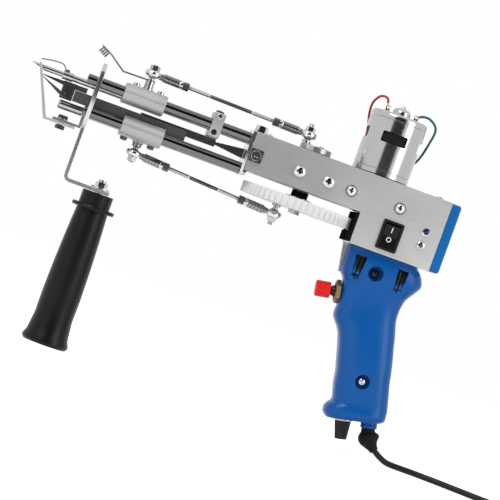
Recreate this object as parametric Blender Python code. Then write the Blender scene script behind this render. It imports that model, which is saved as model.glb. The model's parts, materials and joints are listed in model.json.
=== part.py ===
"""Handheld tufting machine: an electric hand tool that pushes yarn through cloth and cuts the loops.

Lengths are in metres. +X runs back from the needle to the rear cap, -Y is the side with the switches, +Z is
up, and the tool stands on its front handle at Z = 0. Each sub-part is one object. A piece that moves hangs
from an empty on its joint's axis.
"""

import math

import bmesh
import bpy
from mathutils import Matrix, Vector

# Fits and fineness
FIT_GAP = 0.0003
RUNNING_GAP = 0.0006
OVERRUN = 0.001
LARGE_SIDES = 24
MID_SIDES = 16
SMALL_SIDES = 10
HEX_SIDES = 6
ARC_STEPS = 3
SMOOTH_ANGLE = math.radians(35)

# Body: two cheeks of sheet metal, slim ahead of the grip and deep above it
BODY_TOP = 0.1944
SLIM_DEPTH = 0.0285
DEEP_DEPTH = 0.0518
BODY_FRONT = 0.0040
SLIM_LENGTH = 0.0885
DEEP_LENGTH = 0.0604
BODY_WIDTH = 0.0460
CHEEK_SHEET = 0.0015
COVER_SHEET = 0.0015

# Gear train and crank
GEAR_MODULE = 0.0015
GEAR_TEETH = 54
PINION_TEETH = 12
GEAR_FACE = 0.0079
GEAR_DROP = 0.0067
CRANK_FROM_FRONT = 0.0455
CRANK_SHAFT_RADIUS = 0.0040
UPPER_THROW = 0.0086
LOWER_THROW = 0.0132

# Rails that carry the two sliders
RAIL_RADIUS = 0.0040
RAIL_SPREAD = 0.0260
RAIL_DROP = 0.0060
RAIL_RISE = 0.0223
RAIL_LENGTH = 0.1124
REAR_PLATE_SHEET = 0.0020
FRONT_PLATE_SHEET = 0.0030

# Front handle and rear grip
HANDLE_LENGTH = 0.1144
GRIP_HEIGHT = 0.1225
GRIP_REACH = 0.0707
GRIP_WIDTH = 0.0350
GRIP_WALL = 0.0025

# Places that follow from the sizes above
DEEP_FRONT = BODY_FRONT + SLIM_LENGTH
BODY_REAR = DEEP_FRONT + DEEP_LENGTH
SLIM_BOTTOM = BODY_TOP - SLIM_DEPTH
DEEP_BOTTOM = BODY_TOP - DEEP_DEPTH
HALF_WIDTH = BODY_WIDTH / 2
INNER_HALF = HALF_WIDTH - CHEEK_SHEET - FIT_GAP
CRANK_X = BODY_FRONT + CRANK_FROM_FRONT
MOTOR_X = CRANK_X + GEAR_MODULE * (GEAR_TEETH + PINION_TEETH) / 2
GEAR_TOP = SLIM_BOTTOM - GEAR_DROP
GEAR_BOTTOM = GEAR_TOP - GEAR_FACE
UPPER_RAIL_Z = BODY_TOP - RAIL_DROP
LOWER_RAIL_Z = UPPER_RAIL_Z - RAIL_RISE
RAIL_Y = RAIL_SPREAD / 2
REAR_PLATE_BACK = BODY_FRONT - FIT_GAP
REAR_PLATE_FRONT = REAR_PLATE_BACK - REAR_PLATE_SHEET
RAIL_REAR = REAR_PLATE_FRONT - FIT_GAP
RAIL_FRONT = RAIL_REAR - RAIL_LENGTH
FRONT_PLATE_BACK = RAIL_FRONT - FIT_GAP
FRONT_PLATE_FRONT = FRONT_PLATE_BACK - FRONT_PLATE_SHEET
GRIP_TOP = DEEP_BOTTOM - FIT_GAP

X_AXIS = Vector((1, 0, 0))
Y_AXIS = Vector((0, 1, 0))
Z_AXIS = Vector((0, 0, 1))
PLANES = {
    "XY": Matrix(((1, 0, 0), (0, 1, 0), (0, 0, 1))),
    "XZ": Matrix(((1, 0, 0), (0, 0, 1), (0, 1, 0))),
    "YZ": Matrix(((0, 0, 1), (1, 0, 0), (0, 1, 0))),
}


def clear_scene():
    for old in list(bpy.data.objects):
        bpy.data.objects.remove(old, do_unlink=True)


def material(name, colour, roughness, metallic=0.0):
    made = bpy.data.materials.new(name)
    made.use_nodes = True
    shader = made.node_tree.nodes["Principled BSDF"]
    shader.inputs["Base Color"].default_value = (*colour, 1.0)
    shader.inputs["Roughness"].default_value = roughness
    shader.inputs["Metallic"].default_value = metallic
    return made


def link_form(name, form, surface, origin=None):
    """Makes an object of a bmesh. Its origin is the point given, or the middle of its bounds."""
    bmesh.ops.recalc_face_normals(form, faces=form.faces)
    if origin is None:
        low = Vector([min(corner.co[k] for corner in form.verts) for k in range(3)])
        high = Vector([max(corner.co[k] for corner in form.verts) for k in range(3)])
        origin = (low + high) / 2
    bmesh.ops.translate(form, verts=form.verts, vec=-Vector(origin))
    mesh = bpy.data.meshes.new(name)
    form.to_mesh(mesh)
    form.free()
    if surface:
        mesh.materials.append(surface)
    mesh.shade_smooth()
    mesh.set_sharp_from_angle(angle=SMOOTH_ANGLE)
    piece = bpy.data.objects.new(name, mesh)
    piece.location = origin
    bpy.context.scene.collection.objects.link(piece)
    return piece


def bridge(form, ring, other):
    """Joins two rings of corners, either of which may be a single point."""
    count = max(len(ring), len(other))
    for k in range(count):
        corners = [ring[k % len(ring)], ring[(k + 1) % len(ring)]]
        corners += [other[(k + 1) % len(other)], other[k % len(other)]]
        unlike = list(dict.fromkeys(corners))
        if len(unlike) > 2:
            form.faces.new(unlike)


def turned(name, profile, place, along, surface, sides=SMALL_SIDES, hollow=False):
    """A turned solid. profile holds (radius, distance) pairs, measured from place along the axis."""
    form = bmesh.new()
    rings = []
    for radius, distance in profile:
        if radius == 0:
            rings.append([form.verts.new((0, 0, distance))])
            continue
        ring = []
        for step in range(sides):
            angle = 2 * math.pi * step / sides
            ring.append(form.verts.new((radius * math.cos(angle), radius * math.sin(angle), distance)))
        rings.append(ring)
    for ring, other in zip(rings, rings[1:]):
        bridge(form, ring, other)
    if hollow:
        bridge(form, rings[-1], rings[0])
    else:
        for end in (rings[0], rings[-1]):
            if len(end) > 2:
                form.faces.new(end)
    piece = link_form(name, form, surface, origin=(0, 0, 0))
    piece.location = place
    piece.rotation_mode = "QUATERNION"
    piece.rotation_quaternion = Z_AXIS.rotation_difference(Vector(along))
    return piece


def plate(name, plane, outline, low, high, surface, holes=(), origin=None):
    """A flat outline, with its holes, extruded square to its plane from low to high."""
    form = bmesh.new()
    for loop in (outline, *holes):
        corners = [form.verts.new((u, v, low)) for u, v in loop]
        for corner, following in zip(corners, corners[1:] + corners[:1]):
            form.edges.new((corner, following))
    bmesh.ops.triangle_fill(form, use_beauty=True, use_dissolve=False, edges=form.edges[:])
    grown = bmesh.ops.extrude_face_region(form, geom=form.faces[:])
    raised = [item for item in grown["geom"] if isinstance(item, bmesh.types.BMVert)]
    bmesh.ops.translate(form, verts=raised, vec=(0, 0, high - low))
    bmesh.ops.transform(form, matrix=PLANES[plane].to_4x4(), verts=form.verts)
    return link_form(name, form, surface, origin)


def loft(name, sections, surface, origin=None):
    """A skin over closed sections of equal count, with its first and last sections filled."""
    form = bmesh.new()
    rings = [[form.verts.new(point) for point in section] for section in sections]
    for ring, other in zip(rings, rings[1:]):
        bridge(form, ring, other)
    form.faces.new(rings[0])
    form.faces.new(rings[-1])
    return link_form(name, form, surface, origin)


def swept(name, centres, radii, surface, sides=SMALL_SIDES):
    """A round body of changing radius along a path in the XZ plane."""
    sections = []
    for k, (centre, radius) in enumerate(zip(centres, radii)):
        before = Vector(centres[max(k - 1, 0)])
        after = Vector(centres[min(k + 1, len(centres) - 1)])
        across = (after - before).normalized().cross(Y_AXIS)
        ring = []
        for step in range(sides):
            angle = 2 * math.pi * step / sides
            ring.append(Vector(centre) + radius * (math.cos(angle) * across + math.sin(angle) * Y_AXIS))
        sections.append(ring)
    return loft(name, sections, surface)


def tube(name, points, radius, surface, resolution=2):
    """A round wire or cord along its points, with filled ends."""
    line = bpy.data.curves.new(name, "CURVE")
    line.dimensions = "3D"
    run = line.splines.new("POLY")
    run.points.add(len(points) - 1)
    origin = Vector(points[0])
    for corner, point in zip(run.points, points):
        corner.co = (*(Vector(point) - origin), 1.0)
    line.bevel_depth = radius
    line.bevel_resolution = resolution
    line.use_fill_caps = True
    line.materials.append(surface)
    piece = bpy.data.objects.new(name, line)
    piece.location = origin
    bpy.context.scene.collection.objects.link(piece)
    return piece


def combine(piece, tool, operation):
    step = piece.modifiers.new(tool.name, "BOOLEAN")
    step.operation = operation
    step.solver = "EXACT"
    step.object = tool
    tool.hide_render = True
    tool.display_type = "WIRE"
    tool.parent = piece
    tool.matrix_parent_inverse = piece.matrix_basis.inverted()


def cut(piece, *tools):
    for tool in tools:
        combine(piece, tool, "DIFFERENCE")


def join(piece, *tools):
    for tool in tools:
        combine(piece, tool, "UNION")


def circle(x, y, radius, sides=SMALL_SIDES):
    angles = [2 * math.pi * k / sides for k in range(sides)]
    return [(x + radius * math.cos(a), y + radius * math.sin(a)) for a in angles]


def rounded_box(x, y, half_x, half_y, radius, steps=ARC_STEPS):
    """A rectangle about (x, y) with round corners."""
    points = []
    for quarter, (side_x, side_y) in enumerate(((1, 1), (-1, 1), (-1, -1), (1, -1))):
        for step in range(steps + 1):
            angle = math.pi / 2 * (quarter + step / steps)
            corner_x = x + side_x * (half_x - radius)
            corner_y = y + side_y * (half_y - radius)
            points.append((corner_x + radius * math.cos(angle), corner_y + radius * math.sin(angle)))
    return points


def box_outline(low_x, high_x, low_y, high_y):
    return [(low_x, low_y), (high_x, low_y), (high_x, high_y), (low_x, high_y)]


def block(name, low, high, surface=None):
    """A plain box between two corners."""
    outline = box_outline(low[0], high[0], low[1], high[1])
    return plate(name, "XY", outline, low[2], high[2], surface)


def drill(name, place, along, radius, reach, sides=SMALL_SIDES):
    """A round cutter centred on place."""
    return turned(name, [(radius, -reach), (radius, reach)], place, along, None, sides)


def smooth_route(corners, steps):
    """Points of a Catmull-Rom curve through the corners, steps to each span."""
    knots = [Vector(corner) for corner in corners]
    knots = [2 * knots[0] - knots[1], *knots, 2 * knots[-1] - knots[-2]]
    route = []
    for a, b, c, d in zip(knots, knots[1:], knots[2:], knots[3:]):
        for step in range(steps):
            t = step / steps
            bend = (2 * a - 5 * b + 4 * c - d) * t**2 + (3 * b - a - 3 * c + d) * t**3
            route.append(b + ((c - a) * t + bend) / 2)
    return [*route, knots[-2]]


def pivot(name, place, parent=None):
    """An empty on a joint's axis, which carries the pieces that move with it."""
    empty = bpy.data.objects.new(name, None)
    empty.location = place
    bpy.context.scene.collection.objects.link(empty)
    if parent:
        carry(parent, empty)
    return empty


def carry(empty, *pieces):
    bpy.context.view_layer.update()
    for piece in pieces:
        piece.parent = empty
        piece.matrix_parent_inverse = empty.matrix_world.inverted()


# Housing details
CORNER_RADIUS = 0.0012
BOLT_RADIUS = 0.0020
BOLT_HOLE = BOLT_RADIUS + FIT_GAP
BOLT_LINE_DROP = 0.0168
BOLT_HEAD_HEIGHT = 0.0026
BEARING_BOLT_AHEAD = 0.0076
BEARING_BOLT_BEHIND = 0.0142
MOTOR_BOLT_AHEAD = 0.0179
MOTOR_BOLT_BEHIND = 0.0192
DOME_RADIUS = 0.0045
PAN_RADIUS = 0.0036
FRONT_BOLT_SETBACK = 0.0046
WASHER_HALF = 0.0046
WASHER_SHEET = 0.0008
GUARD_SHEET = 0.0018
GUARD_STEP = 0.0010
GUARD_EDGE = 0.0010
SLOT_CLEARANCE = 0.0006
CAP_DEPTH = 0.0069
CAP_ROUND = 0.0015
CAP_SPIGOT = 0.0030
CAP_CORNER = 0.0030
BEARING_HALF_LENGTH = 0.0170
BEARING_FORWARD = 0.0135
REAR_PLATE_TOP_RISE = 0.0010
REAR_PLATE_FOOT_DROP = 0.0051
REAR_PLATE_CORNER = 0.0030
SHAFT_HOLE = 0.0010

PINION_RADIUS = GEAR_MODULE * PINION_TEETH / 2
ADDENDUM = 0.6 * GEAR_MODULE
DEDENDUM = ADDENDUM + FIT_GAP
MOTOR_SHAFT_RADIUS = 0.0025
BEZEL_CENTRE_BEHIND = 0.0190
BEZEL_RISE = 0.0141
BEZEL_HALF_LENGTH = 0.00775
BEZEL_HALF_HEIGHT = 0.01085
BEZEL_LIP = 0.0009
BEZEL_PROUD = 0.0012
BEZEL_DEPTH = 0.0150
LAMP_BEHIND = 0.0426
LAMP_RISE = 0.0256
LAMP_RADIUS = 0.0022
LAMP_RIM = 0.0030
LAMP_DEPTH = 0.0080
BEZEL_X = MOTOR_X + BEZEL_CENTRE_BEHIND
BEZEL_Z = DEEP_BOTTOM + BEZEL_RISE
LAMP_X = MOTOR_X + LAMP_BEHIND
LAMP_Z = DEEP_BOTTOM + LAMP_RISE
BOLT_Z = BODY_TOP - BOLT_LINE_DROP
BOLT_XS = (
    CRANK_X - BEARING_BOLT_AHEAD,
    CRANK_X + BEARING_BOLT_BEHIND,
    MOTOR_X - MOTOR_BOLT_AHEAD,
    MOTOR_X + MOTOR_BOLT_BEHIND,
)
BOLT_HEADS = (DOME_RADIUS, DOME_RADIUS, PAN_RADIUS, PAN_RADIUS)
FRONT_BOLT_X = BODY_FRONT + FRONT_BOLT_SETBACK
SLOT_HALF = PINION_RADIUS + ADDENDUM + SLOT_CLEARANCE


def make_cheeks(steel):
    outline = [
        (BODY_FRONT, BODY_TOP), (BODY_REAR, BODY_TOP), (BODY_REAR, DEEP_BOTTOM),
        (DEEP_FRONT, DEEP_BOTTOM), (DEEP_FRONT, SLIM_BOTTOM), (BODY_FRONT, SLIM_BOTTOM),
    ]
    holes = [circle(x, BOLT_Z, BOLT_HOLE) for x in (FRONT_BOLT_X, *BOLT_XS)]
    mouth_x = BEZEL_HALF_LENGTH - BEZEL_LIP + FIT_GAP
    mouth_z = BEZEL_HALF_HEIGHT - BEZEL_LIP + FIT_GAP
    switches = [box_outline(BEZEL_X - mouth_x, BEZEL_X + mouth_x, BEZEL_Z - mouth_z, BEZEL_Z + mouth_z)]
    switches.append(circle(LAMP_X, LAMP_Z, LAMP_RADIUS + FIT_GAP))
    inner = HALF_WIDTH - CHEEK_SHEET
    plate("side_plate_near", "XZ", outline, -HALF_WIDTH, -inner, steel, holes + switches)
    plate("side_plate_far", "XZ", outline, inner, HALF_WIDTH, steel, holes)


def make_covers(steel, black, blue):
    top_hole = circle(CRANK_X, 0, CRANK_SHAFT_RADIUS + SHAFT_HOLE, MID_SIDES)
    motor_hole = circle(MOTOR_X, 0, MOTOR_SHAFT_RADIUS + SHAFT_HOLE, MID_SIDES)
    ends = box_outline(BODY_FRONT + FIT_GAP, BODY_REAR - FIT_GAP, -INNER_HALF, INNER_HALF)
    plate("top_plate", "XY", ends, BODY_TOP - COVER_SHEET, BODY_TOP, steel, [top_hole, motor_hole])

    wall = DEEP_FRONT + COVER_SHEET
    front = FRONT_BOLT_X
    fold = [
        (front, SLIM_BOTTOM), (DEEP_FRONT, SLIM_BOTTOM), (DEEP_FRONT, DEEP_BOTTOM),
        (BODY_REAR - FIT_GAP, DEEP_BOTTOM), (BODY_REAR - FIT_GAP, DEEP_BOTTOM + COVER_SHEET),
        (wall, DEEP_BOTTOM + COVER_SHEET), (wall, SLIM_BOTTOM + COVER_SHEET),
        (front, SLIM_BOTTOM + COVER_SHEET),
    ]
    belly = plate("belly_plate", "XZ", fold, -INNER_HALF, INNER_HALF, steel)
    low, high = GEAR_BOTTOM - SLOT_CLEARANCE, GEAR_TOP + SLOT_CLEARANCE
    slot = block("belly_slot", (DEEP_FRONT - OVERRUN, -SLOT_HALF, low), (wall + OVERRUN, SLOT_HALF, high))
    bore = CRANK_SHAFT_RADIUS + SHAFT_HOLE
    cut(belly, slot, drill("belly_bore", (CRANK_X, 0, SLIM_BOTTOM), Z_AXIS, bore, COVER_SHEET + OVERRUN,
        MID_SIDES))

    back = DEEP_FRONT - FIT_GAP
    face = back - GUARD_SHEET
    profile = [
        (back, SLIM_BOTTOM - GUARD_EDGE), (face, SLIM_BOTTOM - GUARD_EDGE), (face, low),
        (face - GUARD_STEP, low), (face - GUARD_STEP, DEEP_BOTTOM + GUARD_EDGE),
        (back, DEEP_BOTTOM + GUARD_EDGE),
    ]
    guard = plate("front_guard", "XZ", profile, GUARD_EDGE - HALF_WIDTH, HALF_WIDTH - GUARD_EDGE, black)
    reach = face - GUARD_STEP - OVERRUN
    cut(guard, block("guard_slot", (reach, -SLOT_HALF, low), (back + OVERRUN, SLOT_HALF, high)))

    middle = (BODY_TOP + DEEP_BOTTOM) / 2
    half = DEEP_DEPTH / 2 - FIT_GAP
    inset = COVER_SHEET + FIT_GAP
    seat = BODY_REAR + FIT_GAP
    steps = (
        (BODY_REAR - CAP_SPIGOT, inset), (seat, inset), (seat, 0),
        (seat + CAP_DEPTH - CAP_ROUND, 0), (seat + CAP_DEPTH, CAP_ROUND),
    )
    sections = []
    for x, less in steps:
        across = HALF_WIDTH - less - (FIT_GAP if less == inset else 0)
        ring = rounded_box(0, middle, across, half - less, CAP_CORNER)
        sections.append([(x, y, z) for y, z in ring])
    loft("rear_cap", sections, blue)


def make_bearing_block(steel):
    low, high = SLIM_BOTTOM + COVER_SHEET + FIT_GAP, BODY_TOP - COVER_SHEET - FIT_GAP
    front = CRANK_X - BEARING_FORWARD
    outline = box_outline(front, front + 2 * BEARING_HALF_LENGTH, -INNER_HALF, INNER_HALF)
    bore = circle(CRANK_X, 0, CRANK_SHAFT_RADIUS + FIT_GAP, MID_SIDES)
    bearing = plate("bearing_block", "XY", outline, low, high, steel, [bore])
    for x in BOLT_XS[:2]:
        cut(bearing, drill(f"bearing_cross_{x:.3f}", (x, 0, BOLT_Z), Y_AXIS, BOLT_HOLE, BODY_WIDTH))


def make_side_bolts(bright, dark):
    seat = HALF_WIDTH + FIT_GAP
    for number, (x, head) in enumerate(zip(BOLT_XS, BOLT_HEADS), 1):
        crown = seat + BOLT_HEAD_HEIGHT
        half = [(BOLT_RADIUS, seat), (head, seat), (head, (seat + crown) / 2), (head / 2, crown), (0, crown)]
        profile = [(radius, -distance) for radius, distance in reversed(half)] + half
        turned(f"side_bolt_{number}", profile, (x, 0, BOLT_Z), Y_AXIS, bright)
    head_seat = seat + WASHER_SHEET
    crown = head_seat + BOLT_HEAD_HEIGHT
    half = [(BOLT_RADIUS, head_seat), (PAN_RADIUS, head_seat), (PAN_RADIUS, crown), (0, crown)]
    profile = [(radius, -distance) for radius, distance in reversed(half)] + half
    bolt = turned("front_side_bolt", profile, (FRONT_BOLT_X, 0, BOLT_Z), Y_AXIS, dark)
    for side in (-1, 1):
        washer_front, washer_back = FRONT_BOLT_X - WASHER_HALF + FIT_GAP, FRONT_BOLT_X + WASHER_HALF
        washer = box_outline(washer_front, washer_back, BOLT_Z - WASHER_HALF, BOLT_Z + WASHER_HALF)
        overlap = head_seat + BOLT_HEAD_HEIGHT / 4
        low, high = sorted((side * seat, side * overlap))
        join(bolt, plate(f"bolt_washer_{side}", "XZ", washer, low, high, None))


# Rails, their two plates and what they carry
STUB_RADIUS = 0.0025
RAIL_NUT_RADIUS = 0.0035
RAIL_NUT_LENGTH = 0.0025
UPPER_END_RADIUS = 0.00375
UPPER_END_LENGTH = 0.0069
LOWER_END_LENGTH = 0.0020
FRONT_PLATE_HALF_WIDTH = 0.0220
FRONT_PLATE_RISE = 0.0142
FRONT_PLATE_DROP = 0.0115
FRONT_PLATE_CORNER = 0.0120
TONGUE_WIDTH = 0.0150
BEND_RADIUS = 0.0020
LEG_LENGTH = 0.0323
LEG_SHEET = 0.0027
WINDOW_HALF = 0.0075
WINDOW_FOOT_RISE = 0.0019
WINDOW_LIFT = 0.0152
NEEDLE_BAR_RADIUS = 0.0025
NEEDLE_BAR_DROP = 0.0031
HANDLE_SETBACK = 0.0250
HANDLE_BOLT_RADIUS = 0.0029
CLAMP_BACK_OFF = 0.0216
CLAMP_LENGTH = 0.0081
CLAMP_HALF_WIDTH = 0.0180
CLAMP_RISE = 0.0093
CLAMP_DROP = 0.0087
GUIDE_LENGTH = 0.0570
GUIDE_DEPTH = 0.0054
GUIDE_NEAR = 0.0002
GUIDE_FAR = 0.0055
STAY_NECK = 0.0020
STAY_FOOT = 0.0071

NEEDLE_BAR_Z = UPPER_RAIL_Z - NEEDLE_BAR_DROP
CLAMP_FRONT = RAIL_REAR - CLAMP_BACK_OFF - CLAMP_LENGTH
LEG_BOTTOM = HANDLE_LENGTH + FIT_GAP
LEG_TOP = LEG_BOTTOM + LEG_SHEET
HANDLE_X = FRONT_PLATE_BACK + HANDLE_SETBACK


def rail_places():
    for level, z in (("upper", UPPER_RAIL_Z), ("lower", LOWER_RAIL_Z)):
        for side, y in (("near", -RAIL_Y), ("far", RAIL_Y)):
            yield level, side, y, z


def make_rails(chrome):
    for level, side, y, z in rail_places():
        end_radius = UPPER_END_RADIUS if level == "upper" else RAIL_NUT_RADIUS
        end_length = UPPER_END_LENGTH if level == "upper" else LOWER_END_LENGTH
        head = FRONT_PLATE_FRONT - FIT_GAP
        nut = REAR_PLATE_BACK + FIT_GAP
        profile = [
            (end_radius, head - end_length), (end_radius, head), (STUB_RADIUS, head),
            (STUB_RADIUS, RAIL_FRONT),
            (RAIL_RADIUS, RAIL_FRONT), (RAIL_RADIUS, RAIL_REAR), (STUB_RADIUS, RAIL_REAR),
            (STUB_RADIUS, nut),
            (RAIL_NUT_RADIUS, nut), (RAIL_NUT_RADIUS, nut + RAIL_NUT_LENGTH),
        ]
        turned(f"{level}_rail_{side}", profile, (0, y, z), X_AXIS, chrome)


def make_rail_plates(steel):
    hole = STUB_RADIUS + FIT_GAP
    holes = [circle(y, z, hole) for _, _, y, z in rail_places()]
    low, high = LOWER_RAIL_Z - REAR_PLATE_FOOT_DROP, BODY_TOP + REAR_PLATE_TOP_RISE
    outline = rounded_box(0, (low + high) / 2, INNER_HALF, (high - low) / 2, REAR_PLATE_CORNER)
    plate("rear_plate", "YZ", outline, REAR_PLATE_FRONT, REAR_PLATE_BACK, steel, holes)

    low, high = LOWER_RAIL_Z - FRONT_PLATE_DROP, UPPER_RAIL_Z + FRONT_PLATE_RISE
    outline = rounded_box(0, (low + high) / 2, FRONT_PLATE_HALF_WIDTH, (high - low) / 2, FRONT_PLATE_CORNER)
    bottom = LOWER_RAIL_Z + WINDOW_FOOT_RISE
    window = box_outline(-WINDOW_HALF, WINDOW_HALF, bottom, bottom + WINDOW_LIFT)[:3]
    bore = NEEDLE_BAR_RADIUS + 2 * RUNNING_GAP
    sill = math.asin((bottom + WINDOW_LIFT - NEEDLE_BAR_Z) / bore)
    for step in range(HEX_SIDES + 1):
        angle = sill + (math.pi - 2 * sill) * step / HEX_SIDES
        window.append((bore * math.cos(angle), NEEDLE_BAR_Z + bore * math.sin(angle)))
    window.append((-WINDOW_HALF, bottom + WINDOW_LIFT))
    front = plate("front_plate", "YZ", outline, FRONT_PLATE_FRONT, FRONT_PLATE_BACK, steel, [*holes, window])
    back = FRONT_PLATE_BACK - FIT_GAP
    face = FRONT_PLATE_FRONT + FIT_GAP
    top = low + TONGUE_WIDTH / 4
    strip = [(back, top), (face, top)]
    for radius, turn in ((BEND_RADIUS, 1), (0, -1)):
        arc = []
        for step in range(ARC_STEPS + 1):
            angle = math.pi / 2 * step / ARC_STEPS
            bend = radius + (LEG_SHEET if turn > 0 else BEND_RADIUS)
            centre_x = face + BEND_RADIUS + LEG_SHEET
            centre_z = LEG_BOTTOM + BEND_RADIUS + LEG_SHEET
            arc.append((centre_x - bend * math.cos(angle), centre_z - bend * math.sin(angle)))
        strip += arc if turn > 0 else [(FRONT_PLATE_BACK + LEG_LENGTH, LEG_BOTTOM),
                                       (FRONT_PLATE_BACK + LEG_LENGTH, LEG_TOP), *reversed(arc)]
    leg = plate("front_leg", "XZ", strip, -TONGUE_WIDTH / 2, TONGUE_WIDTH / 2, None)
    join(front, leg)
    reach = LEG_SHEET + OVERRUN
    cut(front, drill("leg_bore", (HANDLE_X, 0, LEG_TOP), Z_AXIS, HANDLE_BOLT_RADIUS + FIT_GAP, reach))


def make_clamp(steel, black):
    low, high = UPPER_RAIL_Z - CLAMP_DROP, UPPER_RAIL_Z + CLAMP_RISE
    outline = rounded_box(0, (low + high) / 2, CLAMP_HALF_WIDTH, (high - low) / 2, CORNER_RADIUS, 2)
    bores = [circle(y, UPPER_RAIL_Z, RAIL_RADIUS + FIT_GAP) for y in (-RAIL_Y, RAIL_Y)]
    plate("clamp_block", "YZ", outline, CLAMP_FRONT, CLAMP_FRONT + CLAMP_LENGTH, steel, bores)
    top = low - FIT_GAP
    middle, bar_end = top - GUIDE_DEPTH / 2, CLAMP_FRONT + CLAMP_LENGTH
    stay_rise = [(RAIL_REAR, middle - STAY_FOOT / 2), (RAIL_REAR, middle + STAY_FOOT / 2)]
    outline = [
        (bar_end - GUIDE_LENGTH, top - GUIDE_DEPTH), (bar_end, top - GUIDE_DEPTH),
        (bar_end, middle - STAY_NECK / 2),
        *stay_rise, (bar_end, middle + STAY_NECK / 2), (bar_end, top), (bar_end - GUIDE_LENGTH, top),
    ]
    plate("guide_bar", "XZ", outline, GUIDE_NEAR, GUIDE_FAR, black)


# Motor
CAN_RADIUS = 0.0210
CAN_WALL = 0.0015
CAN_LENGTH = 0.0458
CAN_SHOULDER = 0.0025
BOSS_RADIUS = 0.0067
BOSS_RISE = 0.0062
BOSS_TIP = 0.0018
WINDOW_WIDTH = 0.0185
WINDOW_HEIGHT = 0.0081
WINDOW_RISE = 0.0238
ROTOR_RADIUS = 0.0150
ROTOR_INSET = 0.0030
SHAFT_BORE = 0.0032
WIRE_RADIUS = 0.0009
TOOTH_ROOT_SHARE = 0.615
TOOTH_TIP_SHARE = 0.235

MOTOR_SEAT = BODY_TOP + FIT_GAP
CAN_TOP = MOTOR_SEAT + CAN_LENGTH


def gear_outline(x, teeth, start):
    """Straight-sided teeth about (x, 0). start is the angle of the first tooth's middle."""
    pitch = GEAR_MODULE * teeth / 2
    tooth = math.pi * GEAR_MODULE
    root, tip = pitch - DEDENDUM, pitch + ADDENDUM
    root_half, tip_half = tooth * TOOTH_ROOT_SHARE / 2 / root, tooth * TOOTH_TIP_SHARE / 2 / tip
    points = []
    for number in range(teeth):
        middle = start + 2 * math.pi * number / teeth
        for radius, turn in ((root, -root_half), (tip, -tip_half), (tip, tip_half), (root, root_half)):
            points.append((x + radius * math.cos(middle + turn), radius * math.sin(middle + turn)))
    return points


def make_motor(chrome, copper, red, green):
    wall = CAN_RADIUS - CAN_WALL
    crown = CAN_TOP + BOSS_RISE
    profile = [
        (0, crown + BOSS_TIP), (BOSS_RADIUS / 4, crown + BOSS_TIP), (BOSS_RADIUS / 3, crown),
        (BOSS_RADIUS * 0.8, crown - BOSS_RISE / 4), (BOSS_RADIUS, CAN_TOP + BOSS_RISE / 4),
        (BOSS_RADIUS, CAN_TOP),
        (CAN_RADIUS - CAN_SHOULDER, CAN_TOP), (CAN_RADIUS - CAN_SHOULDER / 4, CAN_TOP - CAN_SHOULDER / 4),
        (CAN_RADIUS, CAN_TOP - CAN_SHOULDER), (CAN_RADIUS, MOTOR_SEAT), (SHAFT_BORE, MOTOR_SEAT),
        (SHAFT_BORE, MOTOR_SEAT + CAN_WALL), (wall, MOTOR_SEAT + CAN_WALL), (wall, CAN_TOP - CAN_WALL),
        (0, CAN_TOP - CAN_WALL),
    ]
    can = turned("motor_can", profile, (MOTOR_X, 0, 0), Z_AXIS, chrome, LARGE_SIDES)
    low = MOTOR_SEAT + WINDOW_RISE
    reach, half = CAN_RADIUS + OVERRUN, WINDOW_WIDTH / 2
    for number, (across, along) in enumerate(((reach, half), (half, reach))):
        corner = (MOTOR_X - across, -along, low)
        cut(can, block(f"can_window_{number}", corner, (MOTOR_X + across, along, low + WINDOW_HEIGHT)))

    pinion_low, pinion_high = GEAR_BOTTOM - FIT_GAP, GEAR_TOP + FIT_GAP
    inside, roof = MOTOR_SEAT + CAN_WALL, CAN_TOP - CAN_WALL
    profile = [
        (0, pinion_low + FIT_GAP), (MOTOR_SHAFT_RADIUS, pinion_low + FIT_GAP),
        (MOTOR_SHAFT_RADIUS, inside + ROTOR_INSET), (ROTOR_RADIUS, inside + ROTOR_INSET),
        (ROTOR_RADIUS, roof - ROTOR_INSET), (MOTOR_SHAFT_RADIUS, roof - ROTOR_INSET),
        (MOTOR_SHAFT_RADIUS, roof - FIT_GAP), (0, roof - FIT_GAP),
    ]
    rotor = turned("motor_rotor", profile, (MOTOR_X, 0, 0), Z_AXIS, copper, MID_SIDES)
    offset = math.pi / PINION_TEETH
    join(rotor, plate("pinion", "XY", gear_outline(MOTOR_X, PINION_TEETH, offset), pinion_low,
        pinion_high, None))

    clear = CAN_RADIUS + WIRE_RADIUS + RUNNING_GAP
    lift, drop = CAN_TOP + RUNNING_GAP + WIRE_RADIUS, BODY_TOP + FIT_GAP
    for name, side, surface in (("red_wire", -1, red), ("green_wire", 1, green)):
        spread = side * CAN_RADIUS
        corners = [
            (MOTOR_X + spread * 0.5, 0, lift), (MOTOR_X + spread * 0.68, 0, lift + BOSS_RISE * 0.55),
            (MOTOR_X + spread * 1.0, 0, lift + BOSS_RISE * 0.6), (MOTOR_X + side * clear * 1.22, 0, CAN_TOP),
            (MOTOR_X + side * clear * 1.2, clear * 0.2, CAN_TOP - CAN_LENGTH * 0.25),
            (MOTOR_X + side * clear * 1.05, clear * 0.5, CAN_TOP - CAN_LENGTH * 0.55),
            (MOTOR_X + side * clear * 0.72, clear * 0.8, CAN_TOP - CAN_LENGTH * 0.8),
            (MOTOR_X + side * clear * 0.68, clear * 0.8, drop),
        ]
        tube(name, smooth_route(corners, 3), WIRE_RADIUS, surface)
    return rotor


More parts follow.
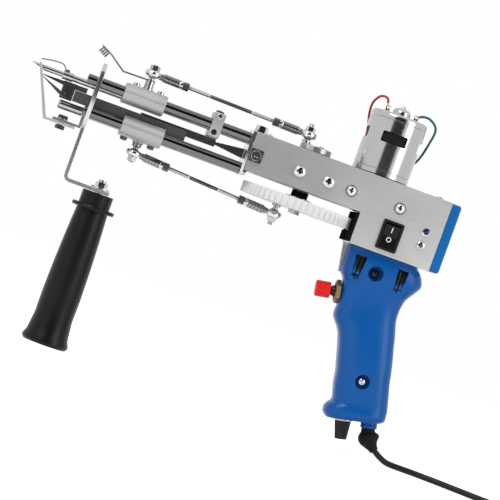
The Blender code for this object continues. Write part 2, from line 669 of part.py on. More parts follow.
# Crank, rods and sliders
HUB_RADIUS = 0.0092
HUB_HEIGHT = 0.0011
COLLAR_RADIUS = 0.0058
DISC_RADIUS = 0.0116
DISC_SHEET = 0.0043
DISC_CHAMFER = 0.0005
EYE_RADIUS = 0.0062
EYE_BORE = 0.0043
EYE_SHEET = 0.0046
BALL_RADIUS = 0.0040
SHANK_RADIUS = 0.0031
SHANK_LENGTH = 0.0180
LOCK_NUT_RADIUS = 0.0036
LOCK_NUT_LENGTH = 0.0050
ROD_RADIUS = 0.0017
PIN_RADIUS = 0.0020
PIN_NUT_RADIUS = 0.0036
UPPER_STUD_RISE = 0.0123
UPPER_PIN_RISE = 0.0059
UPPER_ROD_LENGTH = 0.1195
LOWER_ROD_LENGTH = 0.1087
SLIDER_LENGTH = 0.0308
SLIDER_WIDTH = 0.0400
SLIDER_HEIGHT = 0.0143
STUD_RADIUS = 0.0035
STUD_NUT_LENGTH = 0.0047
LOWER_STUD_DROP = 0.0089
LOWER_PIN_DROP = 0.0075
GROOVE_NEAR = 0.0058
GROOVE_FAR = 0.0001
GROOVE_DEPTH = 0.0038

DISC_BOTTOM = BODY_TOP + RUNNING_GAP
DISC_TOP = DISC_BOTTOM + DISC_SHEET
UPPER_PIN_X = CRANK_X - UPPER_THROW
LOWER_PIN_X = CRANK_X - LOWER_THROW
UPPER_STUD_X = UPPER_PIN_X - UPPER_ROD_LENGTH
LOWER_STUD_X = LOWER_PIN_X - LOWER_ROD_LENGTH
UPPER_SLIDER_TOP = UPPER_RAIL_Z + SLIDER_HEIGHT / 2
LOWER_SLIDER_TOP = LOWER_RAIL_Z + SLIDER_HEIGHT / 2
LOWER_SLIDER_BOTTOM = LOWER_RAIL_Z - SLIDER_HEIGHT / 2
UPPER_EYE_Z = UPPER_SLIDER_TOP + UPPER_STUD_RISE
UPPER_PIN_Z = DISC_TOP + FIT_GAP + UPPER_PIN_RISE
LOWER_EYE_Z = LOWER_SLIDER_BOTTOM - LOWER_STUD_DROP
LOWER_PIN_Z = GEAR_BOTTOM - FIT_GAP - LOWER_PIN_DROP
KNIFE_BOTTOM = LOWER_SLIDER_TOP - GROOVE_DEPTH + FIT_GAP


def make_crank(nylon, dark):
    bore = circle(CRANK_X, 0, CRANK_SHAFT_RADIUS + FIT_GAP, MID_SIDES)
    teeth = gear_outline(CRANK_X, GEAR_TEETH, 0)
    gear = plate("crank_gear", "XY", teeth, GEAR_BOTTOM, GEAR_TOP, nylon, [bore], (CRANK_X, 0, GEAR_TOP))
    collar = SLIM_BOTTOM - FIT_GAP
    hub = GEAR_TOP + FIT_GAP
    profile = [
        (0, GEAR_BOTTOM), (CRANK_SHAFT_RADIUS, GEAR_BOTTOM), (CRANK_SHAFT_RADIUS, hub), (HUB_RADIUS, hub),
        (HUB_RADIUS, hub + HUB_HEIGHT), (COLLAR_RADIUS, hub + HUB_HEIGHT), (COLLAR_RADIUS, collar),
        (CRANK_SHAFT_RADIUS, collar), (CRANK_SHAFT_RADIUS, DISC_BOTTOM),
        (DISC_RADIUS - DISC_CHAMFER, DISC_BOTTOM),
        (DISC_RADIUS, DISC_BOTTOM + DISC_CHAMFER), (DISC_RADIUS, DISC_TOP - DISC_CHAMFER),
        (DISC_RADIUS - DISC_CHAMFER, DISC_TOP), (0, DISC_TOP),
    ]
    return gear, turned("crankshaft", profile, (CRANK_X, 0, 0), Z_AXIS, dark, MID_SIDES)


def make_rod(name, stud_x, stud_z, pin_x, pin_z, seat_z, steel):
    """A rod with an open eye at its slider and, at the crank, an eye that holds its crank pin."""
    stud, pin = Vector((stud_x, 0, stud_z)), Vector((pin_x, 0, pin_z))
    run = pin - stud
    length = run.length
    along = run.normalized()
    start = (EYE_RADIUS + EYE_BORE) / 2
    half = [
        (SHANK_RADIUS * 0.8, start), (SHANK_RADIUS, start + SHANK_RADIUS),
        (SHANK_RADIUS, start + SHANK_LENGTH),
        (LOCK_NUT_RADIUS, start + SHANK_LENGTH), (LOCK_NUT_RADIUS, start + SHANK_LENGTH + LOCK_NUT_LENGTH),
        (ROD_RADIUS, start + SHANK_LENGTH + LOCK_NUT_LENGTH),
    ]
    profile = half + [(radius, length - distance) for radius, distance in reversed(half)]
    rod = turned(name, profile, stud, along, steel)
    band = EYE_SHEET / 2
    ring = [
        (EYE_BORE, -band), (EYE_RADIUS - band / 2, -band), (EYE_RADIUS, -band / 2), (EYE_RADIUS, band / 2),
        (EYE_RADIUS - band / 2, band), (EYE_BORE, band),
    ]
    up = 1 if pin_z > seat_z else -1
    rise = abs(pin_z - seat_z)
    filled = [
        (0, -rise), (PIN_NUT_RADIUS, -rise), (PIN_NUT_RADIUS, -rise / 2), (PIN_RADIUS, -rise / 2),
        (PIN_RADIUS, -band), *ring[1:-1], (PIN_NUT_RADIUS, band), (PIN_NUT_RADIUS, band + PIN_NUT_RADIUS),
        (PIN_RADIUS, band + PIN_NUT_RADIUS), (PIN_RADIUS, band + PIN_NUT_RADIUS * 2),
        (0, band + PIN_NUT_RADIUS * 2),
    ]
    filled.insert(5, (EYE_RADIUS - band / 2, -band))
    join(rod, turned(name + "_eye", ring, stud, Z_AXIS, None, MID_SIDES, hollow=True))
    join(rod, turned(name + "_pin", list(dict.fromkeys(filled)), pin, up * Z_AXIS, None, MID_SIDES))
    return rod


def make_stud(name, x, seat_z, eye_z, steel):
    """The stud on a slider: its spacer, the ball that the rod's eye turns on, and its nut."""
    up = 1 if eye_z > seat_z else -1
    rise = abs(eye_z - seat_z)
    neck = rise - EYE_SHEET
    profile = [
        (0, FIT_GAP), (STUD_RADIUS + RUNNING_GAP, FIT_GAP), (STUD_RADIUS + RUNNING_GAP, OVERRUN),
        (STUD_RADIUS, OVERRUN),
        (STUD_RADIUS, neck * 0.8), (PIN_RADIUS, neck * 0.8), (PIN_RADIUS, neck),
        (BALL_RADIUS * 0.75, rise - EYE_SHEET / 2),
        (BALL_RADIUS, rise - EYE_SHEET / 4), (BALL_RADIUS, rise + EYE_SHEET / 4),
        (BALL_RADIUS * 0.75, rise + EYE_SHEET / 2),
        (PIN_NUT_RADIUS, rise + EYE_SHEET / 2),
        (PIN_NUT_RADIUS, rise + EYE_SHEET / 2 + STUD_NUT_LENGTH * 0.7),
        (PIN_RADIUS, rise + EYE_SHEET / 2 + STUD_NUT_LENGTH), (0, rise + EYE_SHEET / 2 + STUD_NUT_LENGTH),
    ]
    return turned(name, profile, (x, 0, seat_z), up * Z_AXIS, steel, MID_SIDES)


def make_slider(name, x, rail_z, surface, holes):
    outline = rounded_box(0, rail_z, SLIDER_WIDTH / 2, SLIDER_HEIGHT / 2, SLIDER_HEIGHT * 0.49)
    bores = [circle(y, rail_z, RAIL_RADIUS + FIT_GAP) for y in (-RAIL_Y, RAIL_Y)]
    front = x - SLIDER_LENGTH / 2
    return plate(name, "YZ", outline, front, front + SLIDER_LENGTH, surface, [*bores, *holes])


# Needle, scissors and the yarn guide
NEEDLE_BAR_FRONT_REACH = 0.0247
NEEDLE_RADIUS = 0.0020
NEEDLE_LENGTH = 0.0235
NEEDLE_SLANT = 0.0110
NEEDLE_WALL = 0.0007
KNIFE_FRONT_REACH = 0.0124
KNIFE_LENGTH = 0.0846
KNIFE_HEIGHT = 0.0081
BLOCK_LENGTH = 0.0092
BLOCK_HEIGHT = 0.0126
BLOCK_LIP = 0.0084
UPPER_BLADE_LENGTH = 0.0190
UPPER_BLADE_DEPTH = 0.0035
LOWER_BLADE_LENGTH = 0.0205
LOWER_BLADE_RISE = 0.0085
LOWER_BLADE_DEPTH = 0.0032
BLADE_SHEET = 0.0012
BLADE_PIVOT_BACK = 0.0021
BLADE_PIVOT_RISE = 0.0028
BLADE_PIN_RADIUS = 0.0010
YARN_WIRE_RADIUS = 0.0006
YARN_CURLS = 4
YARN_CURL_POINTS = 9
YARN_CURL_RADIUS = 0.0027
YARN_PITCH = 0.0021
YARN_BACK = 0.0380
YARN_RISE = 0.0098
YARN_BEND_SHARE = 0.327
YARN_WIRE_BEND = 0.0030
YARN_LIFT_SHARE = 0.7

NEEDLE_BAR_FRONT = FRONT_PLATE_FRONT - NEEDLE_BAR_FRONT_REACH
KNIFE_FRONT = FRONT_PLATE_FRONT - KNIFE_FRONT_REACH
KNIFE_NEAR = -GROOVE_NEAR + FIT_GAP
KNIFE_FAR = GROOVE_FAR - FIT_GAP
BLOCK_BACK = KNIFE_FRONT - FIT_GAP
BLOCK_BOTTOM = KNIFE_BOTTOM - OVERRUN / 2
BLADE_PIVOT = Vector((BLOCK_BACK - BLOCK_LENGTH + BLADE_PIVOT_BACK, KNIFE_NEAR,
    BLOCK_BOTTOM + BLADE_PIVOT_RISE))


def make_needle_parts(steel, bright):
    bore = circle(0, NEEDLE_BAR_Z, NEEDLE_BAR_RADIUS + FIT_GAP)
    upper = make_slider("upper_slider", UPPER_STUD_X, UPPER_RAIL_Z, steel, [bore])
    length = UPPER_STUD_X + SLIDER_LENGTH / 2 - NEEDLE_BAR_FRONT
    socket = NEEDLE_LENGTH / 3
    holder = NEEDLE_BAR_RADIUS + RUNNING_GAP
    profile = [
        (0, socket), (NEEDLE_RADIUS + FIT_GAP, socket), (NEEDLE_RADIUS + FIT_GAP, 0), (holder, 0),
        (holder, socket),
        (NEEDLE_BAR_RADIUS, socket), (NEEDLE_BAR_RADIUS, length), (0, length),
    ]
    bar = turned("needle_bar", profile, (NEEDLE_BAR_FRONT, 0, NEEDLE_BAR_Z), X_AXIS, bright)
    inner = NEEDLE_RADIUS - NEEDLE_WALL
    sections = []
    back = NEEDLE_BAR_FRONT + socket - FIT_GAP
    tip = NEEDLE_BAR_FRONT - NEEDLE_LENGTH
    heel = tip + NEEDLE_SLANT
    floor = back - NEEDLE_RADIUS
    ends = ((NEEDLE_RADIUS, back, back), (NEEDLE_RADIUS, heel, tip), (inner, heel, tip), (inner, floor, floor))
    for outer, lower_x, upper_x in ends:
        ring = []
        for y, z in circle(0, 0, outer):
            share = (z / outer + 1) / 2
            ring.append((lower_x + (upper_x - lower_x) * share, y, NEEDLE_BAR_Z + z))
        sections.append(ring)
    needle = loft("needle", sections, bright)
    stud = make_stud("upper_stud", UPPER_STUD_X, UPPER_SLIDER_TOP, UPPER_EYE_Z, bright)

    neck = UPPER_SLIDER_TOP + (UPPER_STUD_RISE - EYE_SHEET) * 0.8
    ring_z = neck + YARN_WIRE_RADIUS + FIT_GAP
    ring_radius = PIN_RADIUS + FIT_GAP + YARN_WIRE_RADIUS
    route = []
    for step in range(YARN_CURL_POINTS):
        angle = math.pi * (0.95 - 1.7 * step / (YARN_CURL_POINTS - 1))
        route.append((UPPER_STUD_X + ring_radius * math.cos(angle), -ring_radius * math.sin(angle), ring_z))
    route.reverse()
    curl_x = UPPER_STUD_X - YARN_BACK
    curl_z = ring_z + YARN_RISE
    turns = []
    for step in range(YARN_CURLS * YARN_CURL_POINTS + 1):
        angle = 2 * math.pi * step / YARN_CURL_POINTS
        across = YARN_PITCH * step / YARN_CURL_POINTS
        turns.append((curl_x + YARN_CURL_RADIUS * math.cos(angle), across - YARN_PITCH * YARN_CURLS / 2,
                      curl_z - YARN_CURL_RADIUS * math.sin(angle)))
    bend_x = FRONT_PLATE_BACK + YARN_BEND_SHARE * (UPPER_STUD_X - FRONT_PLATE_BACK)
    middle = [
        (bend_x + YARN_WIRE_BEND, -YARN_PITCH, ring_z - FIT_GAP), (bend_x, -YARN_PITCH * 1.5, ring_z),
        ((bend_x + curl_x) / 2, -YARN_PITCH * 2, ring_z + YARN_RISE * YARN_LIFT_SHARE),
    ]
    guide = tube("yarn_guide", [*route, *middle, *turns[1:]], YARN_WIRE_RADIUS, bright, 1)
    return upper, bar, needle, stud, guide


def make_scissors(pale, steel, black, bright):
    lower = make_slider("lower_slider", LOWER_STUD_X, LOWER_RAIL_Z, pale, [])
    reach = SLIDER_LENGTH / 2 + OVERRUN
    groove = block("slider_groove", (LOWER_STUD_X - reach, -GROOVE_NEAR, LOWER_SLIDER_TOP - GROOVE_DEPTH),
                   (LOWER_STUD_X + reach, GROOVE_FAR, LOWER_SLIDER_TOP + OVERRUN))
    cut(lower, groove)
    stud = make_stud("lower_stud", LOWER_STUD_X, LOWER_SLIDER_BOTTOM, LOWER_EYE_Z, bright)
    top = KNIFE_BOTTOM + KNIFE_HEIGHT
    bar = plate("knife_bar", "XZ", box_outline(KNIFE_FRONT, KNIFE_FRONT + KNIFE_LENGTH, KNIFE_BOTTOM, top),
                KNIFE_NEAR, KNIFE_FAR, steel)
    front = BLOCK_BACK - BLOCK_LENGTH
    lid = BLOCK_BOTTOM + BLOCK_HEIGHT
    tip = front - UPPER_BLADE_LENGTH
    outline = [
        (front, BLOCK_BOTTOM), (BLOCK_BACK, BLOCK_BOTTOM), (BLOCK_BACK, top + FIT_GAP),
        (BLOCK_BACK + BLOCK_LIP, top + FIT_GAP),
        (BLOCK_BACK + BLOCK_LIP, lid), (tip, lid - OVERRUN), (front, lid - UPPER_BLADE_DEPTH),
    ]
    middle = (KNIFE_NEAR + KNIFE_FAR) / 2
    scissors = plate("scissors_block", "XZ", outline, middle, KNIFE_FAR, black)
    near = plate("block_cheek", "XZ", box_outline(front, BLOCK_BACK, BLADE_PIVOT.z - BLADE_PIVOT_RISE, lid),
                 KNIFE_NEAR + BLADE_SHEET + FIT_GAP, middle + OVERRUN, None)
    pin_middle = BLADE_PIVOT + BLADE_SHEET * Y_AXIS
    pin = drill("blade_pin", pin_middle, Y_AXIS, BLADE_PIN_RADIUS, BLADE_SHEET + FIT_GAP)
    join(scissors, near, pin)
    far_end = (BLADE_PIVOT.x - LOWER_BLADE_LENGTH, BLADE_PIVOT.z + LOWER_BLADE_RISE)
    edge = LOWER_BLADE_DEPTH / 2
    blade_outline = [
        (BLADE_PIVOT.x + edge, BLADE_PIVOT.z - edge), (BLADE_PIVOT.x + edge, BLADE_PIVOT.z + edge),
        (BLADE_PIVOT.x - edge, BLADE_PIVOT.z + edge), far_end, (BLADE_PIVOT.x - edge, BLADE_PIVOT.z - edge),
    ]
    hole = circle(BLADE_PIVOT.x, BLADE_PIVOT.z, BLADE_PIN_RADIUS + FIT_GAP)
    blade = plate("lower_blade", "XZ", blade_outline, KNIFE_NEAR, KNIFE_NEAR + BLADE_SHEET, bright,
        [hole], BLADE_PIVOT)
    return lower, stud, bar, scissors, blade


# Front handle and presser foot
COLLAR_TOP_RADIUS = 0.01145
COLLAR_LENGTH = 0.0098
FLANGE_RADIUS = 0.0160
FLANGE_SHEET = 0.0029
HANDLE_RADIUS = 0.0142
END_FLANGE_RADIUS = 0.0172
END_FLANGE_HEIGHT = 0.0100
END_ROUND = 0.0017
HANDLE_BORE_DEPTH = 0.0114
HANDLE_BOLT_RISE = 0.0055
HANDLE_WASHER_RADIUS = 0.0072
HANDLE_WASHER_SHEET = 0.0012
GRIP_LINE_SHARES = ((1.0, 0.81), (0.78, 0.895), (0.55, 0.96), (0.3, 1.0), (0.12, 0.985), (0.04, 1.04))
POST_RADIUS = 0.0033
POST_DROP = 0.0010
POST_LENGTH = 0.0205
POST_HEAD_LENGTH = 0.0035
FOOT_SHEET = 0.0018
FOOT_LEG_DROP = 0.0111
FOOT_LEG_RISE = 0.0020
FOOT_SHELF_LENGTH = 0.0210
FOOT_HALF_WIDTH = 0.0080
FOOT_BOLT_BACK = 0.0072
FOOT_BOLT_RADIUS = 0.0018
FOOT_NUT_RADIUS = 0.0036
FOOT_NUT_HEIGHT = 0.0029
PRONG_INNER = 0.0060
PRONG_REACH = 0.0200
PRONG_RISE = 0.0370
PRONG_SHEET = 0.0020
FOOT_TOE = 0.0062
FOOT_TRAVEL = 0.0020

POST_Z = LOWER_RAIL_Z - POST_DROP
POST_BACK = FRONT_PLATE_FRONT - FIT_GAP
FOOT_LEG_BACK = FRONT_PLATE_FRONT - FIT_GAP
FOOT_LEG_FRONT = FOOT_LEG_BACK - FOOT_SHEET
SHELF_BOTTOM = LOWER_RAIL_Z - FOOT_LEG_DROP - FOOT_SHEET
SHELF_FRONT = FOOT_LEG_BACK - FOOT_SHELF_LENGTH
FOOT_BOLT_X = SHELF_FRONT + FOOT_BOLT_BACK


def make_front_handle(black, bright):
    top = HANDLE_LENGTH
    flange_top = top - COLLAR_LENGTH
    flange_low = flange_top - FLANGE_SHEET
    bore = HANDLE_BOLT_RADIUS + FIT_GAP
    profile = [
        (0, 0), (END_FLANGE_RADIUS - END_ROUND, 0), (END_FLANGE_RADIUS, END_ROUND),
        (END_FLANGE_RADIUS, END_FLANGE_HEIGHT * 0.35),
        (END_FLANGE_RADIUS - END_ROUND, END_FLANGE_HEIGHT * 0.75),
    ]
    span = flange_low - END_FLANGE_HEIGHT
    for high, wide in reversed(GRIP_LINE_SHARES):
        profile.append((HANDLE_RADIUS * wide, END_FLANGE_HEIGHT + span * high))
    profile += [
        (FLANGE_RADIUS - FLANGE_SHEET / 4, flange_low), (FLANGE_RADIUS, (flange_low + flange_top) / 2),
        (FLANGE_RADIUS - FLANGE_SHEET / 4, flange_top), (COLLAR_TOP_RADIUS, flange_top),
        (COLLAR_TOP_RADIUS, top),
        (bore, top), (bore, top - HANDLE_BORE_DEPTH), (0, top - HANDLE_BORE_DEPTH),
    ]
    turned("front_handle", profile, (HANDLE_X, 0, 0), Z_AXIS, black, LARGE_SIDES)
    seat = LEG_TOP + FIT_GAP
    cap = seat + HANDLE_WASHER_SHEET
    profile = [
        (0, top - HANDLE_BORE_DEPTH + FIT_GAP), (HANDLE_BOLT_RADIUS, top - HANDLE_BORE_DEPTH + FIT_GAP),
        (HANDLE_BOLT_RADIUS, seat), (HANDLE_WASHER_RADIUS, seat), (HANDLE_WASHER_RADIUS, cap),
        (HANDLE_BOLT_RADIUS, cap), (HANDLE_BOLT_RADIUS, cap + HANDLE_BOLT_RISE), (0, cap + HANDLE_BOLT_RISE),
    ]
    turned("handle_bolt", profile, (HANDLE_X, 0, 0), Z_AXIS, bright)


def make_foot(steel, bright, grey):
    hole = FOOT_BOLT_RADIUS + FIT_GAP
    stem = POST_RADIUS * 0.7
    front = FOOT_LEG_FRONT - FIT_GAP
    end = POST_BACK - POST_LENGTH
    profile = [
        (POST_RADIUS * 0.8, end), (POST_RADIUS, end + POST_HEAD_LENGTH / 4), (POST_RADIUS, front),
        (stem, front),
        (stem, POST_BACK),
    ]
    turned("front_post", profile, (0, 0, POST_Z), X_AXIS, grey)
    leg_top = LOWER_RAIL_Z + FOOT_LEG_RISE
    fold = [
        (FOOT_LEG_BACK, leg_top), (FOOT_LEG_FRONT, leg_top), (FOOT_LEG_FRONT, SHELF_BOTTOM + FOOT_SHEET),
        (SHELF_FRONT, SHELF_BOTTOM + FOOT_SHEET), (SHELF_FRONT, SHELF_BOTTOM), (FOOT_LEG_BACK, SHELF_BOTTOM),
    ]
    bracket = plate("foot_bracket", "XZ", fold, -FOOT_HALF_WIDTH, FOOT_HALF_WIDTH, steel)
    shank = (FOOT_BOLT_X, 0, SHELF_BOTTOM)
    cut(bracket, drill("bracket_bore", shank, Z_AXIS, hole, FOOT_SHEET + OVERRUN))
    cut(bracket, drill("post_bore", (FOOT_LEG_BACK, 0, POST_Z), X_AXIS, stem + FIT_GAP,
        FOOT_SHEET + OVERRUN))

    base_top = SHELF_BOTTOM - FIT_GAP
    base_low = base_top - FOOT_SHEET
    toe_x = SHELF_FRONT - FOOT_TOE
    tip = (toe_x - (PRONG_REACH - FOOT_TOE), base_low + PRONG_RISE)
    outline = [
        (FOOT_LEG_FRONT - FOOT_SHEET, base_top), (FOOT_LEG_FRONT - FOOT_SHEET, base_low), (toe_x, base_low),
        (tip[0] - PRONG_SHEET, tip[1]), tip, (toe_x + FOOT_SHEET, base_top),
    ]
    foot = plate("presser_foot", "XZ", outline, -FOOT_HALF_WIDTH, FOOT_HALF_WIDTH, bright,
                 origin=(FOOT_BOLT_X, 0, base_top))
    slot = (FOOT_BOLT_X - FOOT_TRAVEL - hole, -hole, base_low - OVERRUN)
    cut(foot, block("foot_slot", slot, (FOOT_BOLT_X + FOOT_TRAVEL + hole, hole, base_top + OVERRUN)))
    gap = block("foot_fork", (tip[0] - PRONG_REACH, -PRONG_INNER, base_top + FOOT_TOE),
                (toe_x + FOOT_SHEET + OVERRUN, PRONG_INNER, tip[1] + OVERRUN))
    cut(foot, gap)
    seat = SHELF_BOTTOM + FOOT_SHEET + FIT_GAP
    under = base_low - FIT_GAP
    profile = [
        (0, under - FOOT_NUT_HEIGHT), (FOOT_NUT_RADIUS, under - FOOT_NUT_HEIGHT), (FOOT_NUT_RADIUS, under),
        (FOOT_BOLT_RADIUS, under), (FOOT_BOLT_RADIUS, seat), (FOOT_NUT_RADIUS, seat),
        (FOOT_NUT_RADIUS, seat + FOOT_NUT_HEIGHT), (0, seat + FOOT_NUT_HEIGHT),
    ]
    turned("foot_bolt", profile, (FOOT_BOLT_X, 0, 0), Z_AXIS, bright, HEX_SIDES)
    return foot


# Rear grip. Each row holds front reach, front drop, rear reach, rear drop and width, as shares of its sizes
GRIP_SECTION_SHARES = (
    (0.023, 0.000, 0.777, 0.000, 0.94), (0.030, 0.047, 0.849, 0.047, 1.00),
    (0.035, 0.100, 0.881, 0.100, 1.00),
    (0.044, 0.160, 0.847, 0.140, 0.97), (0.089, 0.198, 0.793, 0.188, 0.90),
    (0.105, 0.223, 0.771, 0.215, 0.88),
    (0.123, 0.288, 0.754, 0.280, 0.86), (0.132, 0.358, 0.762, 0.341, 0.86),
    (0.134, 0.424, 0.784, 0.386, 0.88),
    (0.204, 0.480, 0.812, 0.443, 0.90), (0.242, 0.518, 0.827, 0.480, 0.92),
    (0.276, 0.575, 0.856, 0.541, 0.94),
    (0.321, 0.669, 0.895, 0.631, 0.96), (0.348, 0.725, 0.918, 0.696, 0.96),
    (0.371, 0.800, 0.953, 0.770, 0.95),
    (0.410, 0.888, 0.990, 0.851, 0.93), (0.383, 0.913, 0.997, 0.880, 0.95),
    (0.361, 0.941, 1.000, 0.902, 0.97),
    (0.366, 0.974, 0.994, 0.917, 0.95), (0.410, 1.000, 0.969, 0.931, 0.86),
)
CAVITY_SECTIONS = 16
GRIP_ROUNDNESS = 2.6
GRIP_STEPS = 8
GRIP_FLOOR = 0.0040
TANG_HALF = 0.0015
TANG_OUTLINE_SHARES = ((-0.028, 0.0), (0.70, 0.0), (0.66, 0.12), (0.50, 0.155), (0.024, 0.174))
BOSS_RADIUS_OUT = 0.0072
SCREW_HOLE = 0.0022
RECESS_RADIUS = 0.0053
RECESS_FLOOR = 0.0090
BOSS_END = 0.88 * GRIP_WIDTH / 2
SCREW_SHARES = ((0.372, 0.117), (0.621, 0.736))
SLOT_SHARES = ((0.178, 0.043, 0.050), (0.634, 0.043, 0.050))
SLOT_SHARE_HEIGHT = 0.140
SLOT_DEPTH = 0.0050
TRIGGER_LEAN = math.radians(10)
TRIGGER_NUT_SHARE = (0.095, 0.288)
NUT_ACROSS = 0.0150
NUT_SHEET = 0.0030
BUSH_RADIUS = 0.0057
SWITCH_RADIUS = 0.0080
SWITCH_LENGTH = 0.0200
SWITCH_SETBACK = 0.0075
BOOT_RADIUS = 0.0045
STEM_RADIUS = 0.0028
STEM_REACH = 0.0099
BUTTON_RADIUS = 0.0059
BUTTON_LENGTH = 0.0108
BUTTON_STANDOFF = 0.0056
BUTTON_ROUND = 0.0007
POCKET_DEPTH = 0.0034
CONTROL_REACH_SHARE = 0.594
KNOB_TOP_RADIUS = 0.0060
KNOB_END_RADIUS = 0.0043
KNOB_LENGTH = 0.0130
CONTROL_WASHER_RADIUS = 0.00725
CONTROL_WASHER_SHEET = 0.0010
CONTROL_SHAFT = 0.0030
CONTROL_BUSH = 0.0035
CONTROL_BODY_RADIUS = 0.0070
CONTROL_BODY_LENGTH = 0.0070
GLAND_REACH_SHARE = 0.858
GLAND_RADIUS = 0.0061
GLAND_LENGTH = 0.0048
CORD_RADIUS = 0.0022

TRIGGER_IN = Vector((math.cos(TRIGGER_LEAN), 0, math.sin(TRIGGER_LEAN)))


def grip_point(reach_share, drop_share):
    return Vector((DEEP_FRONT + reach_share * GRIP_REACH, 0, GRIP_TOP - drop_share * GRIP_HEIGHT))


def grip_section(front, rear, half_width, flat, side):
    """Half of a flattened oval between the front and rear points, with its flat on the split plane."""
    middle, half = (front + rear) / 2, (rear - front) / 2
    points = []
    for step in range(GRIP_STEPS + 1):
        angle = math.pi * (1 - step / GRIP_STEPS)
        along = math.copysign(abs(math.cos(angle)) ** (2 / GRIP_ROUNDNESS), math.cos(angle))
        across = abs(math.sin(angle)) ** (2 / GRIP_ROUNDNESS) * half_width
        points.append(middle + along * half + Vector((0, side * max(across, flat), 0)))
    return points


def make_grip_half(name, side, blue):
    outer, inner = [], []
    split = FIT_GAP / 2
    sections = []
    for front_reach, front_drop, rear_reach, rear_drop, wide in GRIP_SECTION_SHARES:
        sections.append((grip_point(front_reach, front_drop), grip_point(rear_reach, rear_drop),
            wide * GRIP_WIDTH / 2))
    for front, rear, half in sections:
        outer.append(grip_section(front, rear, half, split, side))
    floor_front, floor_rear, floor_half = sections[-1]
    lift = Vector((0, 0, GRIP_FLOOR))
    cavity = [(sections[0][0] + lift, sections[0][1] + lift, sections[0][2]), *sections[:CAVITY_SECTIONS]]
    cavity.append((floor_front + lift, floor_rear + lift, floor_half))
    for front, rear, half in cavity:
        inset = GRIP_WALL * (rear - front).normalized()
        ring = grip_section(front + inset, rear - inset, half - GRIP_WALL, 0, side)
        ring[0].y = ring[-1].y = -side * OVERRUN
        inner.append(ring)
    grip = loft(name, outer, blue)
    cut(grip, loft(name + "_cavity", inner, None))
    for number, shares in enumerate(SCREW_SHARES):
        place = grip_point(*shares)
        start = TANG_HALF + FIT_GAP if number == 0 else split
        tag = f"{name}_{number}"
        post = [(BOSS_RADIUS_OUT, start), (BOSS_RADIUS_OUT, BOSS_END)]
        join(grip, turned(tag + "_post", post, place, side * Y_AXIS, None, MID_SIDES))
        bore = [
            (SCREW_HOLE, -OVERRUN), (SCREW_HOLE, RECESS_FLOOR), (RECESS_RADIUS, RECESS_FLOOR),
            (RECESS_RADIUS, GRIP_WIDTH),
        ]
        cut(grip, turned(tag + "_recess", bore, place, side * Y_AXIS, None, MID_SIDES))
    for number, (reach, drop, wide) in enumerate(SLOT_SHARES):
        top, foot = grip_point(reach - wide, drop), grip_point(reach + wide, drop + SLOT_SHARE_HEIGHT)
        face = side * GRIP_WIDTH / 2
        wedge = [
            (face + side * OVERRUN, top.z), (face - side * SLOT_DEPTH, top.z),
            (face + side * OVERRUN, foot.z)]
        cut(grip, plate(f"{name}_slot_{number}", "YZ", wedge, top.x, foot.x, None))
    slit = []
    for number, shares in enumerate(TANG_OUTLINE_SHARES):
        x, z = grip_point(*shares).xz
        slit.append((x + (FIT_GAP if number in (1, 2) else 0), z + (OVERRUN if number < 2 else -FIT_GAP)))
    low, high = sorted((-side * OVERRUN, side * (TANG_HALF + FIT_GAP)))
    cut(grip, plate(name + "_slit", "XZ", slit, low, high, None))
    nut = grip_point(*TRIGGER_NUT_SHARE)
    clear = BUSH_RADIUS + FIT_GAP
    seat = NUT_SHEET / 2 + FIT_GAP
    bore = [
        (NUT_ACROSS * 0.62, -NUT_ACROSS), (NUT_ACROSS * 0.62, seat), (clear, seat),
        (clear, SWITCH_SETBACK + OVERRUN)]
    cut(grip, turned(name + "_trigger", bore, nut, TRIGGER_IN, None, MID_SIDES))
    down, control, gland = grip_foot()
    reach = GRIP_FLOOR + GRIP_WALL
    cut(grip, drill(name + "_control", control, down, CONTROL_BUSH + FIT_GAP, reach))
    cut(grip, drill(name + "_gland", gland, down, CORD_RADIUS * 2 + FIT_GAP, reach))
    return grip


def grip_foot():
    """The outward direction of the grip's foot, and where the speed control and the cord leave it."""
    front = grip_point(*GRIP_SECTION_SHARES[-1][:2])
    rear = grip_point(*GRIP_SECTION_SHARES[-1][2:4])
    along = (rear - front).normalized()
    span = (rear - front).x
    control = front.lerp(rear, (DEEP_FRONT + CONTROL_REACH_SHARE * GRIP_REACH - front.x) / span)
    gland = front.lerp(rear, (DEEP_FRONT + GLAND_REACH_SHARE * GRIP_REACH - front.x) / span)
    return along.cross(Y_AXIS) * (1 if along.cross(Y_AXIS).z < 0 else -1), control, gland


def make_tang(steel):
    outline = [tuple(grip_point(*shares).xz) for shares in TANG_OUTLINE_SHARES]
    place = grip_point(*SCREW_SHARES[0])
    hole = circle(place.x, place.z, SCREW_HOLE)
    plate("grip_tang", "XZ", outline, -TANG_HALF, TANG_HALF, steel, [hole])


